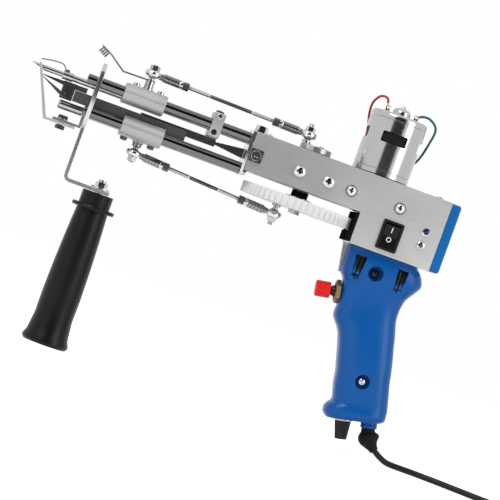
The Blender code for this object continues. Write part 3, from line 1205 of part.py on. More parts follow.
def make_trigger(bronze, rubber, red):
    nut = grip_point(*TRIGGER_NUT_SHARE)
    half = NUT_SHEET / 2
    corner = NUT_ACROSS / 2 / math.cos(math.pi / HEX_SIDES)
    nut_piece = turned("trigger_nut", [(corner, -half), (corner, half)], nut, TRIGGER_IN, bronze, HEX_SIDES)
    cut(nut_piece, drill("nut_bore", nut, TRIGGER_IN, BUSH_RADIUS + FIT_GAP, NUT_SHEET))
    profile = [
        (0, -STEM_REACH), (STEM_RADIUS, -STEM_REACH), (STEM_RADIUS, -BUTTON_STANDOFF),
        (BOOT_RADIUS, -half - OVERRUN),
        (BOOT_RADIUS, -half), (BUSH_RADIUS, -half), (BUSH_RADIUS, SWITCH_SETBACK),
        (SWITCH_RADIUS, SWITCH_SETBACK),
        (SWITCH_RADIUS, SWITCH_SETBACK + SWITCH_LENGTH), (0, SWITCH_SETBACK + SWITCH_LENGTH),
    ]
    turned("trigger_switch", profile, nut, TRIGGER_IN, rubber, MID_SIDES)
    back = -BUTTON_STANDOFF
    front = back - BUTTON_LENGTH
    clear = STEM_RADIUS + FIT_GAP
    mouth = BOOT_RADIUS + RUNNING_GAP
    profile = [
        (0, front), (BUTTON_RADIUS - BUTTON_ROUND, front), (BUTTON_RADIUS, front + BUTTON_ROUND),
        (BUTTON_RADIUS, back),
        (mouth, back), (mouth, back - POCKET_DEPTH), (clear, back - POCKET_DEPTH),
        (clear, back - 2 * POCKET_DEPTH - OVERRUN),
        (0, back - 2 * POCKET_DEPTH - OVERRUN),
    ]
    return turned("trigger_button", profile, nut, TRIGGER_IN, red, MID_SIDES)


# Rocker switch and lamp
ROCKER_HALF_LENGTH = 0.0054
ROCKER_HALF_HEIGHT = 0.0086
ROCKER_RISE = 0.0037
ROCKER_TILT = math.radians(7)
ROCKER_PIVOT_DEPTH = 0.0028


def make_rocker(black):
    face = -(HALF_WIDTH + FIT_GAP)
    front = face - BEZEL_PROUD
    body_x, body_z = BEZEL_HALF_LENGTH - BEZEL_LIP, BEZEL_HALF_HEIGHT - BEZEL_LIP
    flange = rounded_box(BEZEL_X, BEZEL_Z, BEZEL_HALF_LENGTH, BEZEL_HALF_HEIGHT, CORNER_RADIUS, 2)
    bezel = plate("rocker_bezel", "XZ", flange, front, face, black)
    shell = box_outline(BEZEL_X - body_x, BEZEL_X + body_x, BEZEL_Z - body_z, BEZEL_Z + body_z)
    join(bezel, plate("bezel_body", "XZ", shell, face - BEZEL_PROUD / 2, face + BEZEL_DEPTH, None))
    mouth_x, mouth_z = ROCKER_HALF_LENGTH + FIT_GAP, ROCKER_HALF_HEIGHT + RUNNING_GAP
    mouth = box_outline(BEZEL_X - mouth_x, BEZEL_X + mouth_x, BEZEL_Z - mouth_z, BEZEL_Z + mouth_z)
    cut(bezel, plate("bezel_mouth", "XZ", mouth, front - OVERRUN, face + BEZEL_DEPTH - BEZEL_PROUD, None))
    place = Vector((BEZEL_X, face + ROCKER_PIVOT_DEPTH, BEZEL_Z))
    end = ROCKER_RISE + ROCKER_HALF_HEIGHT * math.tan(ROCKER_TILT)
    outline = [
        (-end, ROCKER_HALF_HEIGHT), (-ROCKER_RISE, 0), (-end, -ROCKER_HALF_HEIGHT),
        (BEZEL_PROUD, -ROCKER_HALF_HEIGHT * 0.9), (ROCKER_RISE, 0), (BEZEL_PROUD, ROCKER_HALF_HEIGHT * 0.9),
    ]
    rocker = plate("rocker", "YZ", outline, -ROCKER_HALF_LENGTH, ROCKER_HALF_LENGTH, black, origin=(0, 0, 0))
    rocker.location = place
    rocker.rotation_euler = (ROCKER_TILT, 0, 0)
    return rocker


def make_lamp(navy):
    face = HALF_WIDTH + FIT_GAP
    profile = [
        (0, LAMP_DEPTH - HALF_WIDTH), (LAMP_RADIUS, LAMP_DEPTH - HALF_WIDTH), (LAMP_RADIUS, -face),
        (LAMP_RIM, -face),
        (LAMP_RIM, -face - OVERRUN / 2), (LAMP_RADIUS, -face - OVERRUN), (0, -face - 1.5 * OVERRUN),
    ]
    turned("indicator_lamp", profile, (LAMP_X, 0, LAMP_Z), Y_AXIS, navy)


def make_speed_control(steel, black):
    down, control, _ = grip_foot()
    washer = FIT_GAP + CONTROL_WASHER_SHEET
    inside = -(GRIP_FLOOR + FIT_GAP)
    profile = [
        (0, inside - CONTROL_BODY_LENGTH), (CONTROL_BODY_RADIUS, inside - CONTROL_BODY_LENGTH),
        (CONTROL_BODY_RADIUS, inside), (CONTROL_BUSH, inside), (CONTROL_BUSH, FIT_GAP),
        (CONTROL_WASHER_RADIUS, FIT_GAP),
        (CONTROL_WASHER_RADIUS, washer), (CONTROL_SHAFT, washer),
        (CONTROL_SHAFT, washer + KNOB_LENGTH * 0.6),
        (0, washer + KNOB_LENGTH * 0.6),
    ]
    turned("speed_control", profile, control, down, steel, MID_SIDES)
    top = washer + RUNNING_GAP
    bore, depth = CONTROL_SHAFT + FIT_GAP, KNOB_LENGTH * 0.65
    profile = [
        (0, top + depth), (bore, top + depth), (bore, top), (KNOB_TOP_RADIUS, top),
        (KNOB_END_RADIUS, top + KNOB_LENGTH), (0, top + KNOB_LENGTH),
    ]
    return turned("speed_knob", profile, control, down, black, MID_SIDES)


# Cord: where it leaves the grip, its route along the floor, its coil and its plug
BULB_RADIUS = 0.0079
RELIEF_SHARES = (0.62, 0.64, 0.95, 1.0, 0.86, 0.6, 0.42, 0.40)
CORD_LEAVES = (0.1640, 0, 0.0079)
CORD_ROUTE = (
    (0.1640, 0, 0.0079), (0.1690, 0, 0.0050), (0.1745, 0, 0.0028), (0.1810, 0, 0.0023),
    (0.1900, -0.0006, 0.0023),
    (0.2000, -0.0024, 0.0023), (0.2120, -0.0070, 0.0023), (0.2240, -0.0140, 0.0023),
    (0.2360, -0.0212, 0.0023),
    (0.2480, -0.0275, 0.0023), (0.2610, -0.0320, 0.0023), (0.2740, -0.0340, 0.0023),
    (0.2860, -0.0342, 0.0023),
    (0.2957, -0.0342, 0.0023),
)
COIL_CENTRE = (0.3004, 0, 0.0023)
COIL_RADIUS = 0.0342
COIL_STEP = 0.0049
COIL_POINTS = 24
COIL_TURNS_IN = 4
COIL_TURNS_OUT = 4.5
COIL_LEAD = 0.0044
COIL_TAIL = ((0.0050, 0, 0), (0.0100, -0.0012, -0.0005), (0.0160, -0.0024, -0.0016),
    (0.0215, -0.0030, -0.0021))
PLUG_RADIUS = 0.0050
PLUG_GRIP = 0.0220
PLUG_BARREL_RADIUS = 0.0028
PLUG_BARREL = 0.0095


def coil_points():
    """Spirals in on the floor, climbs a layer in half a turn, and spirals out again on top of it."""
    centre_x, centre_y, low = COIL_CENTRE
    points = [(centre_x - COIL_LEAD, centre_y - COIL_RADIUS, low)]
    total = COIL_TURNS_IN + 0.5 + COIL_TURNS_OUT
    inner = COIL_RADIUS - COIL_STEP * COIL_TURNS_IN
    for step in range(int(total * COIL_POINTS) + 1):
        turn = step / COIL_POINTS
        climbed = min(max(turn - COIL_TURNS_IN, 0), 0.5) * 2
        if turn < COIL_TURNS_IN:
            radius = COIL_RADIUS - COIL_STEP * turn
        else:
            radius = inner + COIL_STEP * max(turn - COIL_TURNS_IN - 0.5, 0)
            radius -= COIL_STEP * math.sin(math.pi * climbed) / 4
        angle = 2 * math.pi * turn - math.pi / 2
        points.append((centre_x + radius * math.cos(angle), centre_y + radius * math.sin(angle),
            low + COIL_STEP * climbed))
    end = Vector(points[-1])
    return points + [tuple(end + Vector(step)) for step in COIL_TAIL]


def least_gap(points):
    """The smallest clearance of the coil to itself, measured between points over half a turn apart."""
    knots = [Vector(point) for point in points]
    least = min(
        (knots[a] - knots[b]).length
        for a in range(len(knots)) for b in range(a + COIL_POINTS // 2, len(knots)))
    return least - 2 * CORD_RADIUS


def make_cord(blue, black):
    down, _, gland = grip_foot()
    inside = -GRIP_FLOOR
    profile = [
        (CORD_RADIUS + FIT_GAP, inside), (CORD_RADIUS * 2, inside), (CORD_RADIUS * 2, FIT_GAP),
        (GLAND_RADIUS, FIT_GAP),
        (GLAND_RADIUS, GLAND_LENGTH), (CORD_RADIUS + FIT_GAP, GLAND_LENGTH),
    ]
    turned("cord_collar", profile, gland, down, blue, MID_SIDES, hollow=True)
    start = gland + down * (GLAND_LENGTH + FIT_GAP)
    finish = Vector(CORD_LEAVES)
    heading = (Vector(CORD_ROUTE[1]) - finish).normalized()
    finish -= heading * FIT_GAP
    bend = start + down * BULB_RADIUS
    square_start, square_end = start + down * RUNNING_GAP, finish - heading * RUNNING_GAP
    centres = [start]
    for step in range(len(RELIEF_SHARES) - 2):
        t = step / (len(RELIEF_SHARES) - 3)
        centres.append(square_start * (1 - t) ** 2 + 2 * bend * t * (1 - t) + square_end * t**2)
    centres.append(finish)
    swept("strain_relief", centres, [BULB_RADIUS * share for share in RELIEF_SHARES], black)
    route = smooth_route(CORD_ROUTE, 3)
    tube("cord", route, CORD_RADIUS, black, 2)
    coil = coil_points()
    print(f"coil: least gap to itself {least_gap(coil):.5f} m")
    tube("cord_coil", coil, CORD_RADIUS, black, 1)
    lead = sum((Vector(b) - Vector(a)).length for a, b in zip(route, route[1:]))
    wound = sum((Vector(b) - Vector(a)).length for a, b in zip(coil, coil[1:]))
    print(f"cord: {lead:.3f} m free, {wound:.3f} m in the coil")
    heading = (Vector(coil[-1]) - Vector(coil[-2])).normalized()
    heading.z = 0
    start = Vector(coil[-1]) + heading.normalized() * FIT_GAP
    profile = [
        (0, 0), (CORD_RADIUS * 1.4, 0), (PLUG_RADIUS * 0.9, PLUG_GRIP / 3), (PLUG_RADIUS, PLUG_GRIP / 2),
        (PLUG_RADIUS, PLUG_GRIP), (PLUG_BARREL_RADIUS, PLUG_GRIP),
        (PLUG_BARREL_RADIUS, PLUG_GRIP + PLUG_BARREL),
        (0, PLUG_GRIP + PLUG_BARREL),
    ]
    turned("cord_plug", profile, start, heading, black)


def main():
    clear_scene()
    steel = material("brushed_steel", (0.55, 0.55, 0.56), 0.35, 1.0)
    chrome = material("chrome", (0.75, 0.75, 0.76), 0.12, 1.0)
    dark = material("dark_steel", (0.18, 0.18, 0.19), 0.4, 1.0)
    pale = material("cast_aluminium", (0.62, 0.63, 0.64), 0.55, 0.6)
    black = material("black_plastic", (0.02, 0.02, 0.02), 0.45)
    blue = material("blue_plastic", (0.01, 0.12, 0.55), 0.35)
    nylon = material("white_nylon", (0.82, 0.83, 0.82), 0.5)
    copper = material("copper", (0.6, 0.25, 0.12), 0.4, 1.0)
    bronze = material("bronze", (0.35, 0.2, 0.1), 0.4, 1.0)
    red = material("red_plastic", (0.75, 0.02, 0.02), 0.4)
    green = material("green_sleeve", (0.0, 0.18, 0.08), 0.4)
    navy = material("navy_lens", (0.01, 0.02, 0.12), 0.15)

    make_cheeks(steel)
    make_covers(steel, black, blue)
    make_bearing_block(dark)
    make_side_bolts(chrome, dark)
    make_rails(chrome)
    make_rail_plates(steel)
    make_clamp(steel, dark)
    make_front_handle(black, chrome)
    foot = make_foot(steel, chrome, dark)
    make_grip_half("grip_near", -1, blue)
    make_grip_half("grip_far", 1, blue)
    make_tang(steel)
    make_lamp(navy)
    make_cord(blue, black)

    rotor = make_motor(chrome, copper, red, green)
    gear, shaft = make_crank(nylon, dark)
    upper_seat, lower_seat = DISC_TOP + FIT_GAP, GEAR_BOTTOM - FIT_GAP
    upper_rod = make_rod("upper_rod", UPPER_STUD_X, UPPER_EYE_Z, UPPER_PIN_X, UPPER_PIN_Z, upper_seat,
        chrome)
    lower_rod = make_rod("lower_rod", LOWER_STUD_X, LOWER_EYE_Z, LOWER_PIN_X, LOWER_PIN_Z, lower_seat,
        chrome)
    upper_set = make_needle_parts(pale, chrome)
    *lower_set, blade = make_scissors(pale, dark, black, chrome)
    button = make_trigger(bronze, black, red)
    rocker = make_rocker(black)
    knob = make_speed_control(steel, black)

    carry(pivot("motor_axis", (MOTOR_X, 0, CAN_TOP)), rotor)
    carry(pivot("crank_axis", (CRANK_X, 0, DISC_TOP)), gear, shaft)
    upper_slide = pivot("needle_slide_axis", (UPPER_STUD_X, 0, UPPER_RAIL_Z))
    carry(upper_slide, *upper_set)
    lower_slide = pivot("knife_slide_axis", (LOWER_STUD_X, 0, LOWER_RAIL_Z))
    carry(lower_slide, *lower_set)
    carry(pivot("upper_rod_axis", (UPPER_STUD_X, 0, UPPER_EYE_Z), upper_slide), upper_rod)
    carry(pivot("lower_rod_axis", (LOWER_STUD_X, 0, LOWER_EYE_Z), lower_slide), lower_rod)
    carry(pivot("blade_axis", BLADE_PIVOT, lower_slide), blade)
    carry(pivot("trigger_axis", button.location), button)
    carry(pivot("rocker_axis", rocker.location), rocker)
    carry(pivot("speed_axis", knob.location), knob)
    carry(pivot("foot_axis", foot.location), foot)


main()
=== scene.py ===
"""Handheld tufting machine: camera, light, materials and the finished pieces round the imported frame.

Lengths are in metres, in the frame's own axes: +X runs back from the needle, -Y is the side with the switches
and +Z is up. The camera and the cord come first, then the copies of the plain solids with eased edges, the
turned and formed pieces that stand for faceted solids, the small fasteners, and the studio. An outline is a
list of (radius, distance) pairs from a place along an axis.
"""
import json
import math
import bmesh
import bpy
from mathutils import Matrix, Vector


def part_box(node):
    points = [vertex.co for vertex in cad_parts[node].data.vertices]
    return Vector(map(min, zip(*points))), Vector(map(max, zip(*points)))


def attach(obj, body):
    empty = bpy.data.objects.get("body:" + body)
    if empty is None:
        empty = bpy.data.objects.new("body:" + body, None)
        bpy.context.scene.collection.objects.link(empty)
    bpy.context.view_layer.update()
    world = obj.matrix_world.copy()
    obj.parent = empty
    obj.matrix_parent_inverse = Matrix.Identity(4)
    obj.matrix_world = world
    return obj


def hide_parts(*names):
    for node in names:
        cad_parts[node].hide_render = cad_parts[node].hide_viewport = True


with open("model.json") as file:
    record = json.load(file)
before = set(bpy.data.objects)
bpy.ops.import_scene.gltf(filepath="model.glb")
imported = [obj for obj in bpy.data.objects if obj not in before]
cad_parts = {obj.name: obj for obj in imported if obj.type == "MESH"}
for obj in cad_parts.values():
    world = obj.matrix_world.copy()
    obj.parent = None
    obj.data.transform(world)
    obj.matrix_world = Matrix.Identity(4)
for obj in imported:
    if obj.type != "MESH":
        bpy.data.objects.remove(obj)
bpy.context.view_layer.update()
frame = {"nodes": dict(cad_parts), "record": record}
nodes = frame["nodes"]
scene = bpy.context.scene
X_AXIS, Y_AXIS, Z_AXIS = Vector((1, 0, 0)), Vector((0, 1, 0)), Vector((0, 0, 1))
SIDES = ((-1, "near"), (1, "far"))
ENDS = ((-1, "front"), (1, "rear"))
SLOT_OF = {row["node"]: row["material_slot"] for row in frame["record"]["subparts"]}
BODY_OF = {node: body for body, members in frame["record"]["behaviour"]["bodies"].items() for node in members}

# Camera: looks level and a little from the front, turned so that the body climbs to the left
VIEW_AZIMUTH = math.radians(5)
VIEW_ROLL = math.radians(20)
VIEW_TARGET = Vector((0.0296, 0, 0.1135))
VIEW_DISTANCE = 2.0
VIEW_WIDTH = 0.3585
SENSOR = 36


def add_object(name, data):
    piece = bpy.data.objects.new(name, data)
    scene.collection.objects.link(piece)
    return piece


def make_camera():
    ahead = Vector((math.sin(VIEW_AZIMUTH), math.cos(VIEW_AZIMUTH), 0))
    level = Vector((math.cos(VIEW_AZIMUTH), -math.sin(VIEW_AZIMUTH), 0))
    right = level * math.cos(VIEW_ROLL) + Z_AXIS * math.sin(VIEW_ROLL)
    up = Z_AXIS * math.cos(VIEW_ROLL) - level * math.sin(VIEW_ROLL)
    data = bpy.data.cameras.new("camera")
    data.sensor_width = SENSOR
    data.lens = SENSOR * VIEW_DISTANCE / VIEW_WIDTH
    place = Matrix((right, up, -ahead)).transposed().to_4x4()
    place.translation = VIEW_TARGET - ahead * VIEW_DISTANCE
    scene.camera = add_object("camera", data)
    scene.camera.matrix_world = place


make_camera()

# Materials: every finish has wide patches and a fine grain of its own
EVEN, BRUSH_X, BRUSH_Z = (1, 1, 1), (0.03, 1, 1), (1, 1, 0.03)
PATCH_SCALE = 25
GRAIN_DEPTH = 0.00004
EDGE_FROM, EDGE_TO = 0.52, 0.62
EDGE_GAIN, EDGE_LIFT = 1.5, 0.04
MIX_FROM, MIX_TO = 0.3, 0.7
ROUGH_LEAST = 0.02


def add_node(tree, kind, links=None, values=None, **settings):
    """A shader node. links and values set its inputs by name or number."""
    node = tree.nodes.new(f"ShaderNode{kind}")
    for key, value in settings.items():
        setattr(node, key, value)
    for socket, value in (values or {}).items():
        node.inputs[socket].default_value = value
    for socket, source in (links or {}).items():
        tree.links.new(source, node.inputs[socket])
    return node


def math_node(tree, operation, *terms):
    """A sum of values and sockets."""
    links = {k: term for k, term in enumerate(terms) if not isinstance(term, (int, float))}
    values = {k: term for k, term in enumerate(terms) if k not in links}
    return add_node(tree, "Math", links, values, operation=operation).outputs[0]


def mix_colours(tree, share, first, second):
    """Blends two colours, of which the first may be a socket."""
    links, values = {0: share}, {7: [*second, 1]}
    if isinstance(first, (list, tuple)):
        values[6] = [*first, 1]
    else:
        links[6] = first
    return add_node(tree, "Mix", links, values, data_type="RGBA").outputs[2]


def spread_range(tree, source, start=0, end=1, low=0, high=1, **settings):
    values = {"From Min": start, "From Max": end, "To Min": low, "To Max": high}
    return add_node(tree, "MapRange", {"Value": source}, values, **settings).outputs["Result"]


def node_tree(name, **values):
    """A new material with its node tree and its shader, whose inputs the values set."""
    paint = bpy.data.materials.new(name)
    paint.use_nodes = True
    shader = paint.node_tree.nodes["Principled BSDF"]
    for socket, value in values.items():
        shader.inputs[socket.replace("_", " ")].default_value = value
    return paint, paint.node_tree, shader.inputs


def noise(tree, scale, stretch=EVEN, detail=3):
    """Noise in the piece's own coordinates. A stretch below 1 draws it out along that axis."""
    where = add_node(tree, "TexCoord").outputs["Object"]
    mapping = add_node(tree, "Mapping", {"Vector": where}, {"Scale": stretch})
    values = {"Scale": scale, "Detail": detail, "Roughness": 0.5}
    return add_node(tree, "TexNoise", {"Vector": mapping.outputs["Vector"]}, values).outputs["Fac"]


def surface(name, colour, roughness, metallic, shade, spread, grain, bump, stretch=EVEN, wear=0, shine=0.5,
            painted_shade_fade=None):
    """A finish whose colour and roughness vary over it in wide patches and fine streaks.

    shade is the darkest the colour gets, as a share, and spread how far the roughness goes to both sides.
    grain and stretch set the fine streaks and bump how rough they feel. wear lightens the raised edges, shine
    is how much a plastic mirrors, and fade is painted shade: it darkens toward one end, standing in for a
    gradient of reflected light, and gives an axis, where it starts and ends, and the share.
    """
    paint, tree, shader = node_tree(name, Metallic=metallic, Specular_IOR_Level=shine)
    fine = noise(tree, grain, stretch)
    wide = noise(tree, PATCH_SCALE, EVEN, 2)
    mixed = math_node(tree, "MULTIPLY_ADD", fine, 0.5, math_node(tree, "MULTIPLY", wide, 0.5))
    last = mix_colours(tree, spread_range(tree, mixed, MIX_FROM, MIX_TO), [c * shade for c in colour], colour)
    if wear:
        edges = add_node(tree, "NewGeometry").outputs["Pointiness"]
        raised = spread_range(tree, edges, EDGE_FROM, EDGE_TO, 0, wear)
        last = mix_colours(tree, raised, last, [min(1, c * EDGE_GAIN + EDGE_LIFT) for c in colour])
    # fade is painted shade: the colour darkens toward one end along an axis, standing in for reflected light.
    if painted_shade_fade:
        axis, start, end, share = painted_shade_fade
        parts = add_node(tree, "SeparateXYZ", {0: add_node(tree, "TexCoord").outputs["Object"]})
        painted_shade_slope = spread_range(tree, parts.outputs[axis], start, end, share, interpolation_type="SMOOTHSTEP")
        last = add_node(tree, "VectorMath", {0: last, "Scale": painted_shade_slope}, operation="SCALE").outputs[0]
    tree.links.new(last, shader["Base Color"])
    rough = spread_range(tree, mixed, 0, 1, max(ROUGH_LEAST, roughness - spread), roughness + spread)
    tree.links.new(rough, shader["Roughness"])
    relief = add_node(tree, "Bump", {"Height": fine}, {"Strength": bump, "Distance": GRAIN_DEPTH})
    tree.links.new(relief.outputs["Normal"], shader["Normal"])
    return paint


# Name, colour, roughness, metallic, shade, spread, grain and bump of each
PAINT = {
    # The sheet's fade is painted shade: darker toward the front along X, standing in for a gradient of
    # reflected light.
    "sheet": surface("brushed_sheet", (0.74, 0.74, 0.73), 0.36, 0.8, 0.84, 0.05, 1400, 0.25, BRUSH_X,
                     painted_shade_fade=("X", -0.02, 0.16, 0.66)),
    "bracket": surface("zinc_bracket", (0.6, 0.6, 0.6), 0.2, 0.95, 0.8, 0.06, 1200, 0.25, BRUSH_Z, 0.3),
    "chrome": surface("bright_plating", (0.62, 0.62, 0.63), 0.09, 1, 0.93, 0.02, 900, 0.04),
    "rail": surface("ground_rail", (0.17, 0.17, 0.175), 0.13, 1, 0.88, 0.03, 1500, 0.1, (1, 0.05, 0.05)),
    "can": surface("nickel_can", (0.5, 0.5, 0.5), 0.16, 1, 0.94, 0.02, 1100, 0.06, BRUSH_Z),
    "cast": surface("blasted_aluminium", (0.45, 0.45, 0.45), 0.46, 0.7, 0.88, 0.05, 2600, 0.3),
    "dark": surface("dark_oxide_steel", (0.075, 0.075, 0.08), 0.34, 0.85, 0.65, 0.08, 900, 0.2, wear=0.5),
    "bar": surface("dark_bar", (0.1, 0.1, 0.105), 0.38, 0.75, 0.75, 0.06, 1300, 0.2, BRUSH_X, 0.35),
    "steel": surface("bright_screw_steel", (0.5, 0.5, 0.51), 0.18, 1, 0.75, 0.06, 1500, 0.15),
    "black_sheet": surface("black_sheet", (0.012, 0.012, 0.013), 0.6, 0, 0.7, 0.08, 1200, 0.15, shine=0),
    "black": surface("black_moulding", (0.014, 0.014, 0.015), 0.33, 0, 0.75, 0.07, 1500, 0.12, shine=0.22),
    "gloss_black": surface("gloss_black", (0.008, 0.008, 0.009), 0.16, 0, 0.8, 0.03, 800, 0.03, shine=0.18),
    "handle": surface("satin_handle", (0.006, 0.006, 0.007), 0.32, 0, 0.8, 0.05, 1800, 0.2, shine=0.18),
    "rubber": surface("black_rubber", (0.013, 0.013, 0.013), 0.55, 0, 0.7, 0.08, 1800, 0.25, shine=0.08),
    "cord": surface("cord_sheath", (0.012, 0.012, 0.013), 0.38, 0, 0.7, 0.06, 1500, 0.15, shine=0.2),
    "blue": surface("blue_grip", (0, 0.094, 0.365), 0.26, 0, 0.88, 0.04, 1500, 0.06, shine=0.22),
    "cap_blue": surface("blue_cap", (0.001, 0.125, 0.42), 0.34, 0, 0.88, 0.04, 1700, 0.1, shine=0.22),
    "nylon": surface("white_nylon", (0.8, 0.8, 0.79), 0.42, 0, 0.93, 0.05, 1100, 0.1),
    "copper": surface("copper_winding", (0.42, 0.17, 0.08), 0.38, 0.9, 0.7, 0.08, 1400, 0.3, (0.2, 0.2, 1)),
    "foot": surface("bright_foot", (0.66, 0.66, 0.67), 0.34, 0.75, 0.82, 0.06, 1300, 0.15, BRUSH_Z, 0.3),
    "shank": surface("rod_shank", (0.3, 0.3, 0.31), 0.26, 1, 0.7, 0.06, 1200, 0.25, BRUSH_X, 0.3),
    "wire": surface("spring_wire", (0.2, 0.2, 0.21), 0.24, 1, 0.75, 0.05, 1400, 0.1),
    "bronze": surface("bronze_nut", (0.36, 0.22, 0.12), 0.34, 0.85, 0.7, 0.07, 1200, 0.15, wear=0.5),
    "red": surface("red_button", (0.8, 0.01, 0.008), 0.36, 0, 0.88, 0.05, 1300, 0.1, shine=0.25),
    "red_sleeve": surface("red_sleeve", (0.42, 0.012, 0.03), 0.38, 0, 0.8, 0.05, 1500, 0.1),
    "green_sleeve": surface("green_sleeve", (0, 0.1, 0.055), 0.38, 0, 0.8, 0.05, 1500, 0.1),
    "lens": surface("navy_lens", (0.01, 0.026, 0.11), 0.12, 0, 0.8, 0.02, 700, 0.02, shine=0.4),
    "white": surface("white_mark", (0.82, 0.82, 0.82), 0.4, 0, 0.92, 0.04, 1300, 0.05),
    "tie": surface("pale_tie", (0.62, 0.62, 0.6), 0.45, 0, 0.85, 0.05, 1600, 0.15),
    "card": surface("insulating_card", (0.7, 0.69, 0.64), 0.6, 0, 0.88, 0.05, 1600, 0.15),
}


# Meshes
SHARP = 35
SEAM = 0.000002
ON_PLANE = 0.000004
TOUCH = 1e-7
FLAT = math.radians(0.4)
EASE_STEPS = 2


def mesh_of(name, form):
    bmesh.ops.recalc_face_normals(form, faces=form.faces)
    mesh = bpy.data.meshes.new(name)
    form.to_mesh(mesh)
    form.free()
    return mesh


def settle(piece, body, stands_for):
    """Hangs a finished piece on its body."""
    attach(piece, body)
    if stands_for:
        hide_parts(*stands_for)
    return piece


def add_piece(name, form, body, paint, stands_for=(), sharp=SHARP):
    """Turns a bmesh into a smooth-shaded piece that rides on a body."""
    mesh = mesh_of(name, form)
    mesh.polygons.foreach_set("use_smooth", [True] * len(mesh.polygons))
    mesh.set_sharp_from_angle(angle=math.radians(sharp))
    mesh.materials.append(PAINT[paint])
    return settle(add_object(name, mesh), body, stands_for)


def apply_modifiers(piece):
    """Puts what the modifiers make into the mesh."""
    bpy.context.view_layer.update()
    shown = piece.evaluated_get(bpy.context.evaluated_depsgraph_get())
    mesh = bpy.data.meshes.new_from_object(shown)
    piece.modifiers.clear()
    piece.data = mesh
    return piece


def ease(piece, width, angle=30):
    """Rounds the piece's sharp edges."""
    bevel = piece.modifiers.new("ease", "BEVEL")
    bevel.width = width
    bevel.segments = EASE_STEPS
    bevel.limit_method = "ANGLE"
    bevel.angle_limit = math.radians(angle)
    bevel.harden_normals = True
    bevel.use_clamp_overlap = True
    return apply_modifiers(piece)


def tool(form):
    """A hidden cutter."""
    piece = add_object("tool", mesh_of("tool", form))
    piece.hide_render = True
    return piece


def cut(piece, *tools, operation="DIFFERENCE"):
    """Takes the tools out of the piece, and removes them."""
    for cutter in tools:
        away = piece.modifiers.new("cut", "BOOLEAN")
        away.operation = operation
        away.solver = "EXACT"
        away.object = cutter
    apply_modifiers(piece)
    for cutter in tools:
        bpy.data.objects.remove(cutter)
    piece.data.set_sharp_from_angle(angle=math.radians(SHARP))


def clean_copy(node):
    """The node's solid as a bmesh, with its seams closed."""
    form = bmesh.new()
    form.from_mesh(nodes[node].data)
    bmesh.ops.remove_doubles(form, verts=form.verts, dist=SEAM)
    return form


def dress(node, paint, width):
    """Stands a copy of a plain solid, with whole flat faces and eased edges, in its place."""
    form = clean_copy(node)
    bmesh.ops.dissolve_limit(form, angle_limit=FLAT, verts=form.verts, edges=form.edges)
    piece = add_piece(f"{node}_finish", form, BODY_OF[node], paint, (node,))
    return ease(piece, width) if width else piece


def facing(place, along):
    """The matrix that puts the origin at the place and +Z along the axis."""
    turn = Z_AXIS.rotation_difference(Vector(along)).to_matrix().to_4x4()
    turn.translation = place
    return turn


def join_rings(form, ring, other):
    """Faces between two rings, either of which may be a single point."""
    count = max(len(ring), len(other))
    for k in range(count if count > 1 else 0):
        m = (k + 1) % count
        corners = [ring[k % len(ring)], ring[m % len(ring)], other[m % len(other)], other[k % len(other)]]
        form.faces.new(list(dict.fromkeys(corners)))


def join_all(form, rings, closed=False):
    for ring, other in zip(rings, rings[1:] + (rings[:1] if closed else [])):
        join_rings(form, ring, other)


def lathe_form(outline, place, along, sides=48, closed=False):
    """A turned bmesh. A closed outline makes a ring."""
    form = bmesh.new()
    turn = facing(place, along)
    rings = []
    for radius, distance in outline:
        if radius < TOUCH:
            rings.append([form.verts.new(turn @ Vector((0, 0, distance)))])
            continue
        angles = [2 * math.pi * step / sides for step in range(sides)]
        rings.append([form.verts.new(turn @ Vector((radius * math.cos(a), radius * math.sin(a), distance)))
                      for a in angles])
    join_all(form, rings, closed)
    for end in () if closed else (rings[0], rings[-1]):
        if len(end) > 2:
            form.faces.new(end)
    return form


def lathe(name, outline, place, along, body, paint, slot, sides=48, stands_for=(), width=0, sharp=SHARP,
          closed=False):
    form = lathe_form(outline, place, along, sides, closed)
    piece = add_piece(name, form, body, paint, stands_for, sharp)
    return ease(piece, width) if width else piece


def ring(*row):
    return lathe(*row, closed=True)


def band(inner, outer, low, high):
    """The outline of a plain ring, or of a plain disc where inner is 0."""
    return [(inner, low), (outer, low), (outer, high), (inner, high)]


def arc(steps, start, end):
    """Evenly spaced angles from start to end."""
    return [start + (end - start) * step / steps for step in range(steps + 1)]


def turned_outline(node, place, along):
    """The outline of a turned node, read from its solid."""
    form = clean_copy(node)
    back = facing(place, along).inverted()
    spots = {}
    for vert in form.verts:
        spot = back @ vert.co
        if abs(spot.y) < ON_PLANE and spot.x > -ON_PLANE:
            spots[vert] = (spot.x if spot.x > ON_PLANE else 0.0, spot.z)
    near = {vert: [] for vert in spots}
    for edge in form.edges:
        a, b = edge.verts
        if a in spots and b in spots:
            near[a].append(b)
            near[b].append(a)
    ends = [vert for vert in spots if len(near[vert]) == 1] or list(spots)[:1]
    path = [min(ends, key=lambda vert: (spots[vert][1], spots[vert][0]))]
    while onward := [vert for vert in near[path[-1]] if vert not in path]:
        path.append(onward[0])
    outline = [spots[vert] for vert in path]
    form.free()
    return outline


def respin(node, place, along, paint, sides=48, width=0.00015, sharp=SHARP):
    """Turns a faceted turned solid again, finely."""
    outline = turned_outline(node, place, along)
    lathe(f"{node}_finish", outline, place, along, BODY_OF[node], paint, SLOT_OF[node], sides, (node,), width,
          sharp)


def prism_form(outline, low, high, plane="XZ"):
    """A bmesh pushed out from a flat outline, from low to high on the axis that the plane leaves."""
    form = bmesh.new()
    rings = [[form.verts.new((a, c, b) if plane == "XZ" else (a, b, c)) for a, b in outline]
             for c in (low, high)]
    for ring_of in rings:
        form.faces.new(ring_of)
    join_rings(form, *rings)
    return form


def stacked(sections):
    """A closed solid through rings of equal point counts."""
    form = bmesh.new()
    rings = [[form.verts.new(point) for point in section] for section in sections]
    join_all(form, rings)
    form.faces.new(rings[0])
    form.faces.new(rings[-1])
    bmesh.ops.remove_doubles(form, verts=form.verts, dist=TOUCH)
    return form


